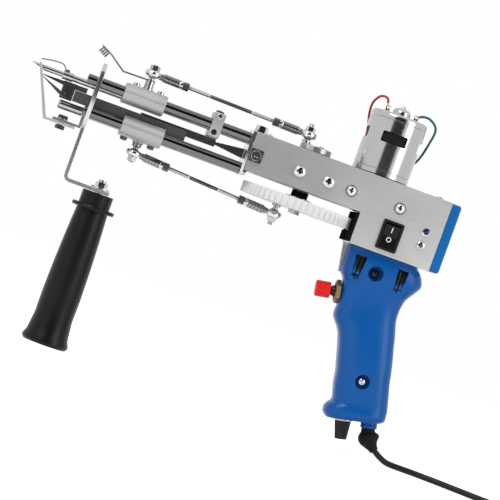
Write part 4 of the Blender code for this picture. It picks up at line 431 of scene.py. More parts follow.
def rounded_ring(x, y, half_x, half_y, radius, steps=8):
    """The points of a rectangle with round corners."""
    points = []
    for quarter, (across, along) in enumerate(((1, 1), (-1, 1), (-1, -1), (1, -1))):
        for step in range(steps + 1):
            angle = math.pi / 2 * (quarter + step / steps)
            points.append((x + across * (half_x - radius) + radius * math.cos(angle),
                           y + along * (half_y - radius) + radius * math.sin(angle)))
    return points


def smooth_route(corners, steps):
    """Points of a Catmull-Rom curve through the corners, steps to each span."""
    knots = [Vector(corner) for corner in corners]
    knots = [2 * knots[0] - knots[1], *knots, 2 * knots[-1] - knots[-2]]
    route = []
    for a, b, c, d in zip(knots, knots[1:], knots[2:], knots[3:]):
        for step in range(steps):
            t = step / steps
            bend = (2 * a - 5 * b + 4 * c - d) * t**2 + (3 * b - a - 3 * c + d) * t**3
            route.append(b + ((c - a) * t + bend) / 2)
    return [*route, knots[-2]]


def wire(name, points, radius, body, paint, stands_for=(), resolution=4):
    """A round wire or cord along the points."""
    data = bpy.data.curves.new(name, "CURVE")
    data.dimensions = "3D"
    data.bevel_depth = radius
    data.bevel_resolution = resolution
    data.use_fill_caps = True
    line = data.splines.new("POLY")
    line.points.add(len(points) - 1)
    for knot, spot in zip(line.points, points):
        knot.co = (*spot, 1)
    line.use_smooth = True
    data.materials.append(PAINT[paint])
    return settle(add_object(name, data), body, stands_for)


# Cord: its route on the floor and the coil, as the frame lays them
CORD_RADIUS = 0.0022
CORD_RESOLUTION = 5
FLOOR_Z = 0.0023
CORD_ROUTE = (
    (0.164, 0, 0.0079), (0.169, 0, 0.005), (0.1745, 0, 0.0028), (0.181, 0, FLOOR_Z),
    (0.19, -0.0006, FLOOR_Z), (0.2, -0.0024, FLOOR_Z), (0.212, -0.007, FLOOR_Z), (0.224, -0.014, FLOOR_Z),
    (0.236, -0.0212, FLOOR_Z), (0.248, -0.0275, FLOOR_Z), (0.261, -0.032, FLOOR_Z), (0.274, -0.034, FLOOR_Z),
    (0.286, -0.0342, FLOOR_Z), (0.2957, -0.0342, FLOOR_Z),
)
COIL_CENTRE = (0.3004, 0, FLOOR_Z)
COIL_RADIUS = 0.0342
COIL_STEP = 0.0049
COIL_POINTS = 24
COIL_TURNS_IN = 4
COIL_TURNS_OUT = 4.5
COIL_LEAD = 0.0044
COIL_TAIL = ((0.005, 0, 0), (0.01, -0.0012, -0.0005), (0.016, -0.0024, -0.0016), (0.0215, -0.003, -0.0021))
PLUG_GAP = 0.0003
PLUG_RADIUS = 0.005
PLUG_GRIP = 0.022
PLUG_NECK = 1.4 * CORD_RADIUS
PLUG_RIBS = 5
PLUG_RIB_START, PLUG_RIB_STEP = 0.0012, 0.0013
PLUG_RIB_LOW = 0.82
BARREL_RADIUS = 0.0028
BARREL_END = PLUG_GRIP + 0.0095
BARREL_BORE = 0.45 * BARREL_RADIUS
BARREL_DEPTH = 0.004
TIE_CLEAR = 0.0006
TIE_THICK, TIE_HALF = 0.0005, 0.003
TIE_BEND = 0.0016
TIE_FOOT = 0.0001


def coil_points():
    """Spirals in on the floor, climbs a layer in half a turn, and spirals out again on top of it."""
    centre_x, centre_y, low = COIL_CENTRE
    points = [Vector((centre_x - COIL_LEAD, centre_y - COIL_RADIUS, low))]
    inner = COIL_RADIUS - COIL_STEP * COIL_TURNS_IN
    for step in range(int((COIL_TURNS_IN + 0.5 + COIL_TURNS_OUT) * COIL_POINTS) + 1):
        turn = step / COIL_POINTS
        climbed = min(max(turn - COIL_TURNS_IN, 0), 0.5) * 2
        if turn < COIL_TURNS_IN:
            radius = COIL_RADIUS - COIL_STEP * turn
        else:
            radius = inner + COIL_STEP * max(turn - COIL_TURNS_IN - 0.5, 0)
            radius -= COIL_STEP * math.sin(math.pi * climbed) / 4
        angle = 2 * math.pi * turn - math.pi / 2
        points.append(Vector((centre_x + radius * math.cos(angle), centre_y + radius * math.sin(angle),
                              low + COIL_STEP * climbed)))
    end = points[-1]
    return points + [end + Vector(step) for step in COIL_TAIL]


def plug_outline():
    """The plug's grip: ribs that swell from the cord to the body."""
    outline = [(0, 0), (CORD_RADIUS * 1.3, 0), (PLUG_NECK, 0.0004)]
    for rib in range(PLUG_RIBS):
        at = PLUG_RIB_START + rib * PLUG_RIB_STEP
        swell = PLUG_NECK + (PLUG_RADIUS * 0.85 - PLUG_NECK) * (rib + 1) / PLUG_RIBS
        outline += [(swell, at), (swell, at + 0.0007), (swell * PLUG_RIB_LOW, at + 0.0009),
                    (swell * PLUG_RIB_LOW, at + 0.0012)]
    return outline + [
        (PLUG_RADIUS * 0.93, 0.0086), (PLUG_RADIUS * 0.985, 0.0102),
        (PLUG_RADIUS * 0.985, PLUG_GRIP - 0.0008), (PLUG_RADIUS * 0.94, PLUG_GRIP),
        (BARREL_RADIUS, PLUG_GRIP), (0, PLUG_GRIP),
    ]


def make_tie():
    """A flat strap round one side of the coil."""
    centre_x, _, low = COIL_CENTRE
    inner = COIL_RADIUS - COIL_STEP * COIL_TURNS_IN - CORD_RADIUS - TIE_THICK
    outer = COIL_RADIUS + CORD_RADIUS + TIE_CLEAR
    top = low + COIL_STEP + CORD_RADIUS + TIE_CLEAR
    mid_x, mid_z = (inner + outer) / 2, (TIE_FOOT + top) / 2
    form = bmesh.new()
    loops = []
    for shrink in (0, TIE_THICK):
        outline = rounded_ring(mid_x, mid_z, (outer - inner) / 2 - shrink, (top - TIE_FOOT) / 2 - shrink,
                               TIE_BEND - shrink, 5)
        for y in (-TIE_HALF, TIE_HALF):
            loops.append([form.verts.new((centre_x + x, y, z)) for x, z in outline])
    join_all(form, [loops[0], loops[1], loops[3], loops[2]], True)
    return add_piece("Coil_tie", form, "frame", "tie")


def make_cord():
    coil = coil_points()
    points = smooth_route([*smooth_route(CORD_ROUTE, 3)[:-1], *coil], 2)
    cord = wire("Cord_sheath", points, CORD_RADIUS, "frame", "cord", ("cord", "cord_coil"),
                CORD_RESOLUTION)
    heading = coil[-1] - coil[-2]
    heading.z = 0
    heading.normalize()
    start = coil[-1] + heading * PLUG_GAP
    plug = lathe("Plug_grip", plug_outline(), start, heading, "frame", "rubber", SLOT_OF["cord_plug"], 40,
                 ("cord_plug",), 0.00012)
    barrel = [
        (0, PLUG_GRIP - 0.0002), (BARREL_RADIUS, PLUG_GRIP - 0.0002), (BARREL_RADIUS, BARREL_END - 0.0009),
        (BARREL_RADIUS * 0.96, BARREL_END - 0.0003), (BARREL_RADIUS * 0.62, BARREL_END),
        (BARREL_RADIUS * 0.5, BARREL_END), (BARREL_BORE, BARREL_END - BARREL_DEPTH),
        (0, BARREL_END - BARREL_DEPTH),
    ]
    metal = lathe("Plug_barrel", barrel, start, heading, "frame", "chrome", "chrome", 40)
    make_tie()


make_cord()

# Places shared with the frame
BODY_TOP = 0.1944
HALF_WIDTH = 0.023
CHEEK_SEAT = HALF_WIDTH + 0.0003
CRANK_X = 0.0495
MOTOR_X = 0.099
BOLT_Z = 0.1776
BOLT_XS = (0.0419, 0.0637, 0.0811, 0.1182)
FRONT_BOLT = (0.0086, CHEEK_SEAT + 0.0009)
CHEEK_SCREW = (0.1411, 0.1578)
UPPER_RAIL_Z, LOWER_RAIL_Z = 0.1884, 0.1661
RAIL_Y = 0.013
RAIL_NUT_X = 0.004
UPPER_STUD_X, LOWER_STUD_X = -0.0786, -0.0724
UPPER_EYE_Z, LOWER_EYE_Z = 0.20785, 0.15005
SLIDER_TOP, SLIDER_BOTTOM = 0.19555, 0.15895
HANDLE_X = -0.0863
FOOT_BOLT_X = -0.1284
POST_Z = 0.1651
NEEDLE_BAR_Z = 0.1853
TOP_BOLT_X = 0.008
CLAMP_X = -0.0242
CLAMP_HALF = 0.018
LID_SCREW_XS = (0.0135, 0.144)
LID_SCREW_Y = 0.015
MOTOR_SCREW_REACH = 0.0125
CLAMP_TOP, CLAMP_FACE_Z, CLAMP_PLUG_Z = 0.1977, 0.195, 0.1833

# Radius and height of heads, and width across the flats and height of hexagons
SIDE_HEAD_HEIGHT = 0.0026
SIDE_NUT, RAIL_NUT = (0.007, 0.0026), (0.0071, 0.0026)
FRONT_HEAD, CHEEK_HEAD = (0.0038, 0.0026), (0.00345, 0.0018)
LID_HEAD, MOTOR_HEAD = (0.0028, 0.0014), (0.0027, 0.0016)
CLAMP_HEAD, CLAMP_FACE_HEAD = (0.003, 0.0022), (0.0021, 0.0007)
TOP_BOLT = (0.008, 0.0048)
CLAMP_HOLE = [(0, 0.0002), (0.00165, 0.0002), (0.0021, 0.00001), (0.0021, -0.0004), (0, -0.0004)]

# Sheets, blocks and bars keep their solids' shapes: the finish and the width of the eased edge
PLAIN_NODES = {
    "side_plate_near": ("sheet", 0.0003), "side_plate_far": ("sheet", 0.0003), "top_plate": ("sheet", 0.0003),
    "belly_plate": ("sheet", 0.0002), "front_guard": ("black_sheet", 0.0003),
    "rear_plate": ("bracket", 0.0003), "front_plate": ("bracket", 0.0003), "clamp_block": ("cast", 0.0004),
    "guide_bar": ("dark", 0.0003), "bearing_block": ("dark", 0.0003), "upper_slider": ("cast", 0.0004),
    "lower_slider": ("cast", 0.0004), "knife_bar": ("bar", 0.0003), "scissors_block": ("dark", 0.0002),
    "lower_blade": ("steel", 0.0001), "foot_bracket": ("bracket", 0.0002), "presser_foot": ("foot", 0.0002),
    "grip_tang": ("bracket", 0.0002), "crank_gear": ("nylon", 0.0001), "motor_rotor": ("copper", 0),
    "rocker_bezel": ("black", 0.0003), "trigger_nut": ("bronze", 0.0003),
}
CAP_SEAT = 0.1532
CAP_LIP = 0.0018
CAP_ROUND = 0.0016
CAP_PANEL = ((0, 0.004), (0.0004, 0.0046), (0.0005, 0.006))
CAP_CORNER, CAP_CORNER_LEAST = 0.003, 0.0012


def make_rear_cap():
    """Moulded cap with a soft edge and a shallow panel in its back."""
    low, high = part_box("rear_cap")
    rows = [(low.x, CAP_LIP), (CAP_SEAT, CAP_LIP), (CAP_SEAT, 0)]
    for angle in arc(6, 0, math.pi / 2):
        rows.append((high.x - CAP_ROUND + CAP_ROUND * math.sin(angle), CAP_ROUND * (1 - math.cos(angle))))
    rows += [(high.x - sunk, less) for sunk, less in CAP_PANEL]
    form = bmesh.new()
    rings = []
    for x, less in rows:
        corner = max(CAP_CORNER - less * 0.4, CAP_CORNER_LEAST)
        half_y, half_z = (high.y - low.y) / 2 - less, (high.z - low.z) / 2 - less
        outline = rounded_ring(0, (low.z + high.z) / 2, half_y, half_z, corner)
        rings.append([form.verts.new((x, y, z)) for y, z in outline])
    join_all(form, rings)
    form.faces.new(rings[0])
    form.faces.new(rings[-1])
    add_piece("Rear_cap_moulding", form, "frame", "cap_blue", ("rear_cap",), 40)


# Screws and nuts, as shares of their sizes
SQUARE = ((-1, -1), (1, -1), (1, 1), (-1, 1))
CROSS_WIDE, CROSS_REACH, CROSS_DEEP = 0.34, 0.62, 0.62
CROSS_ENDS = ((0.6, 1.15), (-1, 0.35))
CROSS_TAPER = 0.4
SOCKET_REACH, SOCKET_DEEP = 0.55, 0.7
CHAMFER_FROM, CHAMFER_TO = 0.49, 1.6
CHAMFER_IN, CHAMFER_DROP, CHAMFER_PAST = 0.02, 0.3, 0.4
NUT_EASE = 0.03


def cross_tools(place, along, radius, height):
    """The two tapered slots of a cross-head screw, cut from the crown at place back along the axis."""
    turn = facing(place, along)
    tools = []
    for turned in (False, True):
        form = bmesh.new()
        rings = []
        for deep, share in CROSS_ENDS:
            points = []
            for x, y in SQUARE:
                a = x * radius * CROSS_REACH * share
                b = y * radius * CROSS_WIDE / 2 * (1 - CROSS_TAPER + CROSS_TAPER * share)
                z = deep * height * CROSS_DEEP
                points.append(form.verts.new(turn @ Vector((a, b, z) if turned else (b, a, z))))
            rings.append(points)
            form.faces.new(points)
        join_rings(form, *rings)
        tools.append(tool(form))
    return tools


def screw(name, place, along, radius, height, body, paint="steel", slot="steel", drive="cross", dome=0.75,
          sink=0.0004):
    """A domed screw head on a surface, with a cross, a hexagon socket or nothing in its crown."""
    brim = height * (1 - dome)
    outline = [(0, -sink), (radius * 0.5, -sink), (radius, -sink), (radius, brim)]
    outline += [(radius * math.cos(angle), brim + height * dome * math.sin(angle))
                for angle in arc(8, 0, math.pi / 2)[1:]]
    outline[-1] = (0, height)
    head = lathe(name, outline, place, along, body, paint, slot, 32)
    crown = Vector(place) + Vector(along) * height
    if drive == "cross":
        cut(head, *cross_tools(crown, along, radius, height))
    elif drive == "socket":
        across = radius * SOCKET_REACH
        cut(head, tool(lathe_form([(across, -height * SOCKET_DEEP), (across, height)], crown, along, 6)))


def hexagon(name, place, along, across_flats, height, body, paint="steel", slot="steel"):
    """A hexagon nut or bolt head with the chamfer that a turned one has."""
    corner = across_flats / math.sqrt(3)
    piece = lathe(name, [(corner, 0), (corner, height)], place, along, body, paint, slot, 6)
    flat, outside = across_flats * CHAMFER_FROM, corner * CHAMFER_TO
    for base, way in ((0, -1), (height, 1)):
        step = way * height
        chamfer = [(flat, step * CHAMFER_IN), (outside, -step * CHAMFER_DROP), (outside, step * CHAMFER_PAST),
                   (flat, step * CHAMFER_PAST)]
        end = Vector(place) + Vector(along) * base
        cut(piece, tool(lathe_form(chamfer, end, along, 32, True)))
    ease(piece, height * NUT_EASE)


def make_side_bolts():
    """Four bolts through both cheeks: two at the bearing with nuts behind, two pan heads under the motor."""
    for number, x in enumerate(BOLT_XS, 1):
        under_motor = number > 2
        radius = 0.0036 if under_motor else 0.0045
        lathe(f"Side_bolt_{number}_shank", band(0, 0.002, -CHEEK_SEAT, CHEEK_SEAT), (x, 0, BOLT_Z), Y_AXIS,
              "frame", "steel", "chrome", 24, (f"side_bolt_{number}",))
        for side, tag in SIDES:
            place = (x, side * CHEEK_SEAT, BOLT_Z)
            if side > 0 and not under_motor:
                hexagon(f"Side_bolt_{number}_nut", place, Y_AXIS, *SIDE_NUT, "frame", "steel", "chrome")
                continue
            screw(f"Side_bolt_{number}_{tag}", place, side * Y_AXIS, radius, SIDE_HEAD_HEIGHT, "frame",
                  "chrome", "chrome", "cross", 0.8, 0)
            if under_motor:
                ring(f"Side_washer_{number}_{tag}", band(0.0021, radius + 0.0006, 0, 0.0004),
                     (x, side * (CHEEK_SEAT - 0.0003), BOLT_Z), side * Y_AXIS, "frame", "steel", "steel", 32)
    dress("front_side_bolt", "dark", 0.00025)
    for side, tag in SIDES:
        screw(f"Front_bolt_{tag}", (FRONT_BOLT[0], side * FRONT_BOLT[1], BOLT_Z), side * Y_AXIS, *FRONT_HEAD,
              "frame", "chrome", "chrome", "cross", 0.45, 0)
    for side, tag in SIDES:
        screw(f"Cheek_screw_{tag}", (CHEEK_SCREW[0], side * HALF_WIDTH, CHEEK_SCREW[1]), side * Y_AXIS,
              *CHEEK_HEAD, "frame")


def make_rails():
    for level, z in (("upper", UPPER_RAIL_Z), ("lower", LOWER_RAIL_Z)):
        for side, tag in SIDES:
            node = f"{level}_rail_{tag}"
            respin(node, (0, side * RAIL_Y, z), X_AXIS, "rail", 40, 0.0002)
            hexagon(f"{node}_nut_rear", (RAIL_NUT_X, side * RAIL_Y, z), X_AXIS, *RAIL_NUT, "frame", "steel",
                    "chrome")


def make_body_trim():
    """Small things that stand on the body."""
    hexagon("Top_bolt_head", (TOP_BOLT_X, 0, BODY_TOP + 0.0006), Z_AXIS, *TOP_BOLT, "frame", "chrome",
            "chrome")
    ring("Top_bolt_washer", band(0.001, 0.005, 0, 0.0007), (TOP_BOLT_X, 0, BODY_TOP), Z_AXIS, "frame",
         "steel", "steel", 40)
    for x, end in zip(LID_SCREW_XS, ("front", "rear")):
        for side, tag in reversed(SIDES):
            screw(f"Lid_screw_{tag}_{end}", (x, side * LID_SCREW_Y, BODY_TOP), Z_AXIS, *LID_HEAD, "frame",
                  dome=0.8)
    for side, tag in ENDS:
        screw(f"Motor_screw_{tag}", (MOTOR_X + side * MOTOR_SCREW_REACH, 0, BODY_TOP - 0.0015), -Z_AXIS,
              *MOTOR_HEAD, "frame", dome=0.8)
    screw("Clamp_screw", (CLAMP_X, 0, CLAMP_TOP), Z_AXIS, *CLAMP_HEAD, "frame", "dark", "dark_steel",
          "socket", 0.3)
    for side, tag in SIDES:
        screw(f"Clamp_face_screw_{tag}", (CLAMP_X, side * CLAMP_HALF, CLAMP_FACE_Z), side * Y_AXIS,
              *CLAMP_FACE_HEAD, "frame", drive="socket", dome=0.5)
        lathe(f"Clamp_plug_{tag}", CLAMP_HOLE, (CLAMP_X - 0.0006, side * CLAMP_HALF, CLAMP_PLUG_Z),
              side * Y_AXIS, "frame", "black", "black_metal", 32)


for plain_node, (plain_paint, plain_width) in PLAIN_NODES.items():
    dress(plain_node, plain_paint, plain_width)
make_rear_cap()
make_side_bolts()
make_rails()
make_body_trim()

# Motor
CAN_RADIUS = 0.021
CAN_WALL = 0.0015
CAN_INNER = CAN_RADIUS - CAN_WALL
MOTOR_SEAT = 0.1947
CAN_TOP = 0.2405
CAN_SHOULDER = 0.0026
CAN_RIM = 0.0168
CAN_GROOVES = (0.2356, 0.199)
BOSS_RADIUS = 0.0067
BOSS_RISE = 0.0062
SHAFT_END = ((0, 0.0018), (0.001, 0.0017), (0.0016, 0.001), (0.0018, 0))
SHAFT_RADIUS = 0.0022
WINDOW_MIDDLE, WINDOW_HALF_HEIGHT = 0.22265, 0.00395
WINDOW_HALF_WIDTH = 0.00925
WINDOW_TURN = math.radians(-3.5)
WINDOW_CORNER = 0.0012
GROOVE_HALF, GROOVE_FLOOR, GROOVE_DEEP = 0.0005, 0.0002, 0.0003
# Height of the black band of painted shade behind the motor's windows
WINDOW_SHADE_LOW, WINDOW_SHADE_HIGH = 0.215, 0.23
TERMINAL_REACH = 0.0105
WASHER = [(0, -0.0002), (0.003, -0.0002), (0.003, 0.0008), (0.0022, 0.0011), (0, 0.0011)]
SOLDER = [(0, -0.0014), (0.0007, -0.0012), (0.0013, -0.0004), (0.0014, 0.0002), (0.0011, 0.0009), (0, 0.0012)]
WIRE_RADIUS = 0.0009
GROMMET = [(WIRE_RADIUS, -0.0002), (0.0024, -0.0002), (0.0024, 0.0008), (0.0016, 0.0012),
           (WIRE_RADIUS, 0.0012)]
LEAD_Z = CAN_TOP + 0.0015
# Reach and depth behind the motor's axis as shares of a radius, and height
RED_LEAD = ((-0.52, 0, LEAD_Z + 0.001), (-0.64, 0, LEAD_Z + 0.0078), (-0.88, 0.1, LEAD_Z + 0.0076),
            (-1.02, 0.4, LEAD_Z + 0.002), (-0.98, 0.7, LEAD_Z - 0.006), (-0.82, 0.92, LEAD_Z - 0.018),
            (-0.76, 0.95, LEAD_Z - 0.033))
GREEN_Z = LEAD_Z + BOSS_RISE * 0.62
GREEN_START = ((0.52, 0, LEAD_Z + 0.001), (0.7, 0, GREEN_Z), (1, 0, GREEN_Z))
GREEN_REST = ((1.2, 0, 0), (1.18, 0.2, 0.25), (1.05, 0.5, 0.55), (0.72, 0.8, 0.8))
LEAD_END = (0.68, 0.8)
LEAD_CLEAR = CAN_RADIUS + WIRE_RADIUS + 0.0006


def make_can():
    outline = [(radius, CAN_TOP + BOSS_RISE + rise) for radius, rise in SHAFT_END]
    outline += [(SHAFT_RADIUS + (BOSS_RADIUS - SHAFT_RADIUS) * math.sin(angle),
                 CAN_TOP + BOSS_RISE * 0.35 + BOSS_RISE * 0.62 * math.cos(angle))
                for angle in arc(7, 0, math.pi / 2)]
    outline += [(BOSS_RADIUS, CAN_TOP + 0.0006), (BOSS_RADIUS + 0.0008, CAN_TOP), (CAN_RIM, CAN_TOP)]
    outline += [(CAN_RADIUS - CAN_SHOULDER * (1 - math.sin(angle)),
                 CAN_TOP - CAN_SHOULDER * (1 - math.cos(angle))) for angle in arc(8, 0, math.pi / 2)]
    for z in CAN_GROOVES:
        outline += [(CAN_RADIUS, z + GROOVE_HALF), (CAN_RADIUS - GROOVE_DEEP, z + GROOVE_FLOOR),
                    (CAN_RADIUS - GROOVE_DEEP, z - GROOVE_FLOOR), (CAN_RADIUS, z - GROOVE_HALF)]
    outline += [(CAN_RADIUS, MOTOR_SEAT), (CAN_INNER, MOTOR_SEAT), (CAN_INNER, CAN_TOP - CAN_WALL),
                (0, CAN_TOP - CAN_WALL)]
    axis = (MOTOR_X, 0, 0)
    can = lathe("Motor_can_shell", outline, axis, Z_AXIS, "frame", "can", "chrome", 128, ("motor_can",),
                sharp=30)
    tools = []
    for quarter in range(2):
        turn = Matrix.Rotation(WINDOW_TURN + quarter * math.pi / 2, 4, "Z")
        window = rounded_ring(0, WINDOW_MIDDLE, WINDOW_HALF_WIDTH, WINDOW_HALF_HEIGHT, WINDOW_CORNER, 5)
        form = prism_form(window, -0.03, 0.03)
        bmesh.ops.transform(form, matrix=Matrix.Translation(axis) @ turn, verts=form.verts)
        tools.append(tool(form))
    cut(can, *tools)
    # Painted shade: a matte black band inside the can behind both windows makes them read dark and hides the
    # winding there.
    window_shade_band = band(CAN_INNER - 0.0001, CAN_INNER - 0.0009, WINDOW_SHADE_LOW, WINDOW_SHADE_HIGH)
    ring("Motor_liner", window_shade_band, axis, Z_AXIS, "frame", "rubber", "rubber", 96)
    seat = band(CAN_RADIUS - 0.003, CAN_RADIUS + 0.0004, MOTOR_SEAT - 0.0003, MOTOR_SEAT + 0.0006)
    ring("Motor_gasket", seat, axis, Z_AXIS, "frame", "black", "rubber", 96)


def make_terminals():
    """Insulating washers, solder tabs and solder on the motor's end."""
    for side, tag in ENDS:
        x = MOTOR_X + side * TERMINAL_REACH
        lathe(f"Terminal_washer_{tag}", WASHER, (x, 0, CAN_TOP), Z_AXIS, "frame", "card", "nylon", 32)
        tab = rounded_ring(x + side * 0.0004, CAN_TOP + 0.0024, 0.0016, 0.0022, 0.0006, 4)
        form = prism_form(tab, -0.00025, 0.00025)
        ease(add_piece(f"Terminal_tab_{tag}", form, "frame", "chrome"), 0.00008)
        lathe(f"Terminal_solder_{tag}", SOLDER, (x + side * 0.0002, 0, CAN_TOP + 0.003), X_AXIS, "frame",
              "chrome", "chrome", 20)


def make_leads():
    length = CAN_TOP - MOTOR_SEAT
    green = [(MOTOR_X + CAN_RADIUS * reach, 0, z) for reach, _, z in GREEN_START]
    green += [(MOTOR_X + LEAD_CLEAR * reach, LEAD_CLEAR * deep, CAN_TOP - length * drop)
              for reach, deep, drop in GREEN_REST]
    red = [(MOTOR_X + CAN_RADIUS * reach, CAN_RADIUS * deep, z) for reach, deep, z in RED_LEAD]
    for name, side, corners in (("red", -1, red), ("green", 1, green)):
        reach, deep = (LEAD_CLEAR * share for share in LEAD_END)
        corners.append((MOTOR_X + side * reach, deep, BODY_TOP + 0.0003))
        points = smooth_route(corners, 10)
        node = f"{name}_wire"
        wire(f"{node}_sleeve", points[5:], WIRE_RADIUS, "frame", f"{name}_sleeve", (node,))
        wire(f"{node}_strand", points[:7], WIRE_RADIUS * 0.55, "frame", "copper", (), 3)
        ring(f"{node}_grommet", GROMMET, (*corners[-1][:2], BODY_TOP), Z_AXIS, "frame", "rubber", "rubber",
             24)


# Crank, rods and studs
GEAR_TOP, GEAR_BOTTOM = 0.1592, 0.1513
HUB_TOP = 0.1653
HUB_FLANGE = [(0.005, GEAR_TOP), (0.012, GEAR_TOP), (0.012, GEAR_TOP + 0.0008), (0.0066, GEAR_TOP + 0.0011),
              (0.0061, GEAR_TOP + 0.0015), (0.0061, HUB_TOP), (0.005, HUB_TOP)]
DISC_BOTTOM, DISC_TOP = 0.195, 0.1993
DISC_RADIUS = 0.0116
KNURLS = 44
KNURL_OUT, KNURL_IN = 0.00035, 0.00025
EYE_RADIUS = 0.0062
EYE_BORE = 0.0043
EYE_HALF = 0.0023
EYE_ROUND = EYE_HALF * 0.6
BALL_RADIUS = 0.004
SHANK_RADIUS = 0.0031
SHANK_START = (EYE_RADIUS + EYE_BORE) / 2
SHANK_END = SHANK_START + 0.015
SHANK_GROOVES = 5
# Shares of the shank's radius and distances past its end
COLLAR = ((0, -0.0002), (1.02, -0.0002), (1.08, 0.0003), (1.08, 0.0008), (0.86, 0.001), (0.86, 0.0013),
          (1.06, 0.0015), (1.06, 0.0024), (0.9, 0.0027), (0, 0.0027))
ROD_MIDDLE = 0.0012
SLEEVE_SHARE, SLEEVE_SWELL = 0.92, 0.00012
ROD_THREAD = 0.0015
THREAD_START = SHANK_END + 0.0075
THREAD_UNDER = 0.0085
THREAD_LENGTH = 0.015
THREAD_PITCH, THREAD_DEPTH = 0.0006, 0.00018
# Radius and height of a head, and width across the flats and height of each nut
CRANK_HEAD = (0.0019, 0.0008)
GEAR_NUT, LOCK_NUT, PIN_NUT, STUD_NUT = (0.008, 0.003), (0.0052, 0.0042), (0.0062, 0.003), (0.0064, 0.0034)
PIN_RADIUS = 0.002
SPACER_BASE = 0.00045


def thread(radius, start, end):
    """The outline of a threaded length."""
    turns = max(1, round(abs(end - start) / THREAD_PITCH))
    outline = []
    for step in range(turns):
        at = start + (end - start) * step / turns
        outline += [(radius - THREAD_DEPTH, at), (radius, at + (end - start) / turns / 2)]
    return [*outline, (radius - THREAD_DEPTH, end)]


def make_crank():
    respin("crankshaft", (CRANK_X, 0, 0), Z_AXIS, "steel", 64, 0.0002)
    outline = []
    for step, angle in enumerate(arc(KNURLS * 4, 0, 2 * math.pi)[:-1]):
        radius = DISC_RADIUS + (KNURL_OUT if step % 4 in (1, 2) else -KNURL_IN)
        outline.append((CRANK_X + radius * math.cos(angle), radius * math.sin(angle)))
    form = prism_form(outline, DISC_BOTTOM + 0.0006, DISC_TOP - 0.0005, "XY")
    ease(add_piece("Crank_knurl", form, "crank", "steel", (), 30), 0.0001)
    for side, tag in ENDS:
        screw(f"Crank_screw_{tag}", (CRANK_X + 0.003, side * 0.0062, DISC_TOP), Z_AXIS, *CRANK_HEAD, "crank",
              "dark", "dark_steel", "socket", 0.4)
    ring("Gear_hub_flange", HUB_FLANGE, (CRANK_X, 0, 0), Z_AXIS, "crank", "black_sheet", "black_metal", 64)
    hexagon("Gear_nut", (CRANK_X, 0, GEAR_BOTTOM), -Z_AXIS, *GEAR_NUT, "crank")


def eye_ring():
    """The outline of a rod end's housing: a band with rounded edges round the ball."""
    outline = [(EYE_BORE, -EYE_HALF * 0.85), (EYE_BORE + 0.0004, -EYE_HALF)]
    outline += [(EYE_RADIUS - EYE_ROUND + EYE_ROUND * math.cos(angle), EYE_HALF * math.sin(angle))
                for angle in arc(8, -math.pi / 2, math.pi / 2)]
    return outline + [(EYE_BORE + 0.0004, EYE_HALF), (EYE_BORE, EYE_HALF * 0.85), (EYE_BORE - 0.0001, 0)]


def ball_outline(radius):
    """A bored ball's outline, cut flat above and below."""
    flat = math.sqrt(radius**2 - (PIN_RADIUS * 1.25) ** 2)
    side = [(math.sqrt(radius**2 - z**2), z) for z in arc(12, -flat, flat)]
    return [(PIN_RADIUS, -flat), *side, (PIN_RADIUS, flat)]


def shank_outline():
    outline = [(0, SHANK_START - 0.0006), (SHANK_RADIUS * 0.74, SHANK_START - 0.0006),
               (SHANK_RADIUS * 0.78, SHANK_START + 0.0022), (SHANK_RADIUS, SHANK_START + 0.003)]
    for groove in range(SHANK_GROOVES):
        at = SHANK_START + 0.0044 + groove * 0.0024
        outline += [(SHANK_RADIUS, at - 0.0002), (SHANK_RADIUS * 0.93, at), (SHANK_RADIUS, at + 0.0002)]
    return outline + [(SHANK_RADIUS, SHANK_END - 0.0004), (SHANK_RADIUS * 0.9, SHANK_END), (0, SHANK_END)]


def make_rod(name, body, stud, pin, seat_z):
    stud, pin = Vector(stud), Vector(pin)
    along = (pin - stud).normalized()
    length = (pin - stud).length
    tag = name.capitalize()
    thread_end = THREAD_START + THREAD_LENGTH
    half = [(0, THREAD_START - THREAD_UNDER), *thread(ROD_THREAD, THREAD_START - THREAD_UNDER, thread_end),
            (ROD_MIDDLE, thread_end + 0.0004)]
    bar = half + [(radius, length - at) for radius, at in reversed(half)]
    lathe(f"{tag}_bar", bar, stud, along, body, "steel", "chrome", 20, (name,))
    reach = (length / 2 - thread_end) * SLEEVE_SHARE
    low, high = length / 2 - reach, length / 2 + reach
    swell = ROD_MIDDLE + SLEEVE_SWELL
    sleeve = [(0, low), (ROD_MIDDLE, low), (swell, low + 0.0002), (swell, high - 0.0002), (ROD_MIDDLE, high),
              (0, high)]
    lathe(f"{tag}_middle", sleeve, stud, along, body, "dark", "dark_steel", 24)
    collar = [(SHANK_RADIUS * share, SHANK_END + past) for share, past in COLLAR]
    for end, place, way in (("front", stud, along), ("rear", pin, -along)):
        lathe(f"{tag}_shank_{end}", shank_outline(), place, way, body, "shank", "steel", 40)
        lathe(f"{tag}_collar_{end}", collar, place, way, body, "chrome", "chrome", 40)
        hexagon(f"{tag}_lock_nut_{end}", place + way * (SHANK_END + 0.0028), way, *LOCK_NUT, body, "dark",
                "dark_steel")
        ring(f"{tag}_eye_{end}", eye_ring(), place, Z_AXIS, body, "chrome", "chrome", 56)
    up = Z_AXIS if pin.z > seat_z else -Z_AXIS
    rise = abs(pin.z - seat_z)
    ring(f"{tag}_pin_ball", ball_outline(BALL_RADIUS + 0.0003), pin, Z_AXIS, body, "steel", "chrome", 40)
    top = EYE_HALF + 0.0032
    crank_pin = [(0, -rise), (0.0034, -rise), (0.0034, 0.0016 - rise), (PIN_RADIUS, 0.0018 - rise),
                 (PIN_RADIUS, top), *thread(PIN_RADIUS * 0.93, top, top + 0.0026), (0, top + 0.0029)]
    lathe(f"{tag}_crank_pin", crank_pin, pin, up, body, "steel", "chrome", 28)
    hexagon(f"{tag}_pin_nut", pin + up * (EYE_HALF + 0.0004), up, *PIN_NUT, body, "chrome", "chrome")
    ring(f"{tag}_pin_washer", band(PIN_RADIUS, 0.0042, 0, 0.0005), pin + up * (EYE_HALF - 0.0001), up, body,
         "steel", "steel", 32)


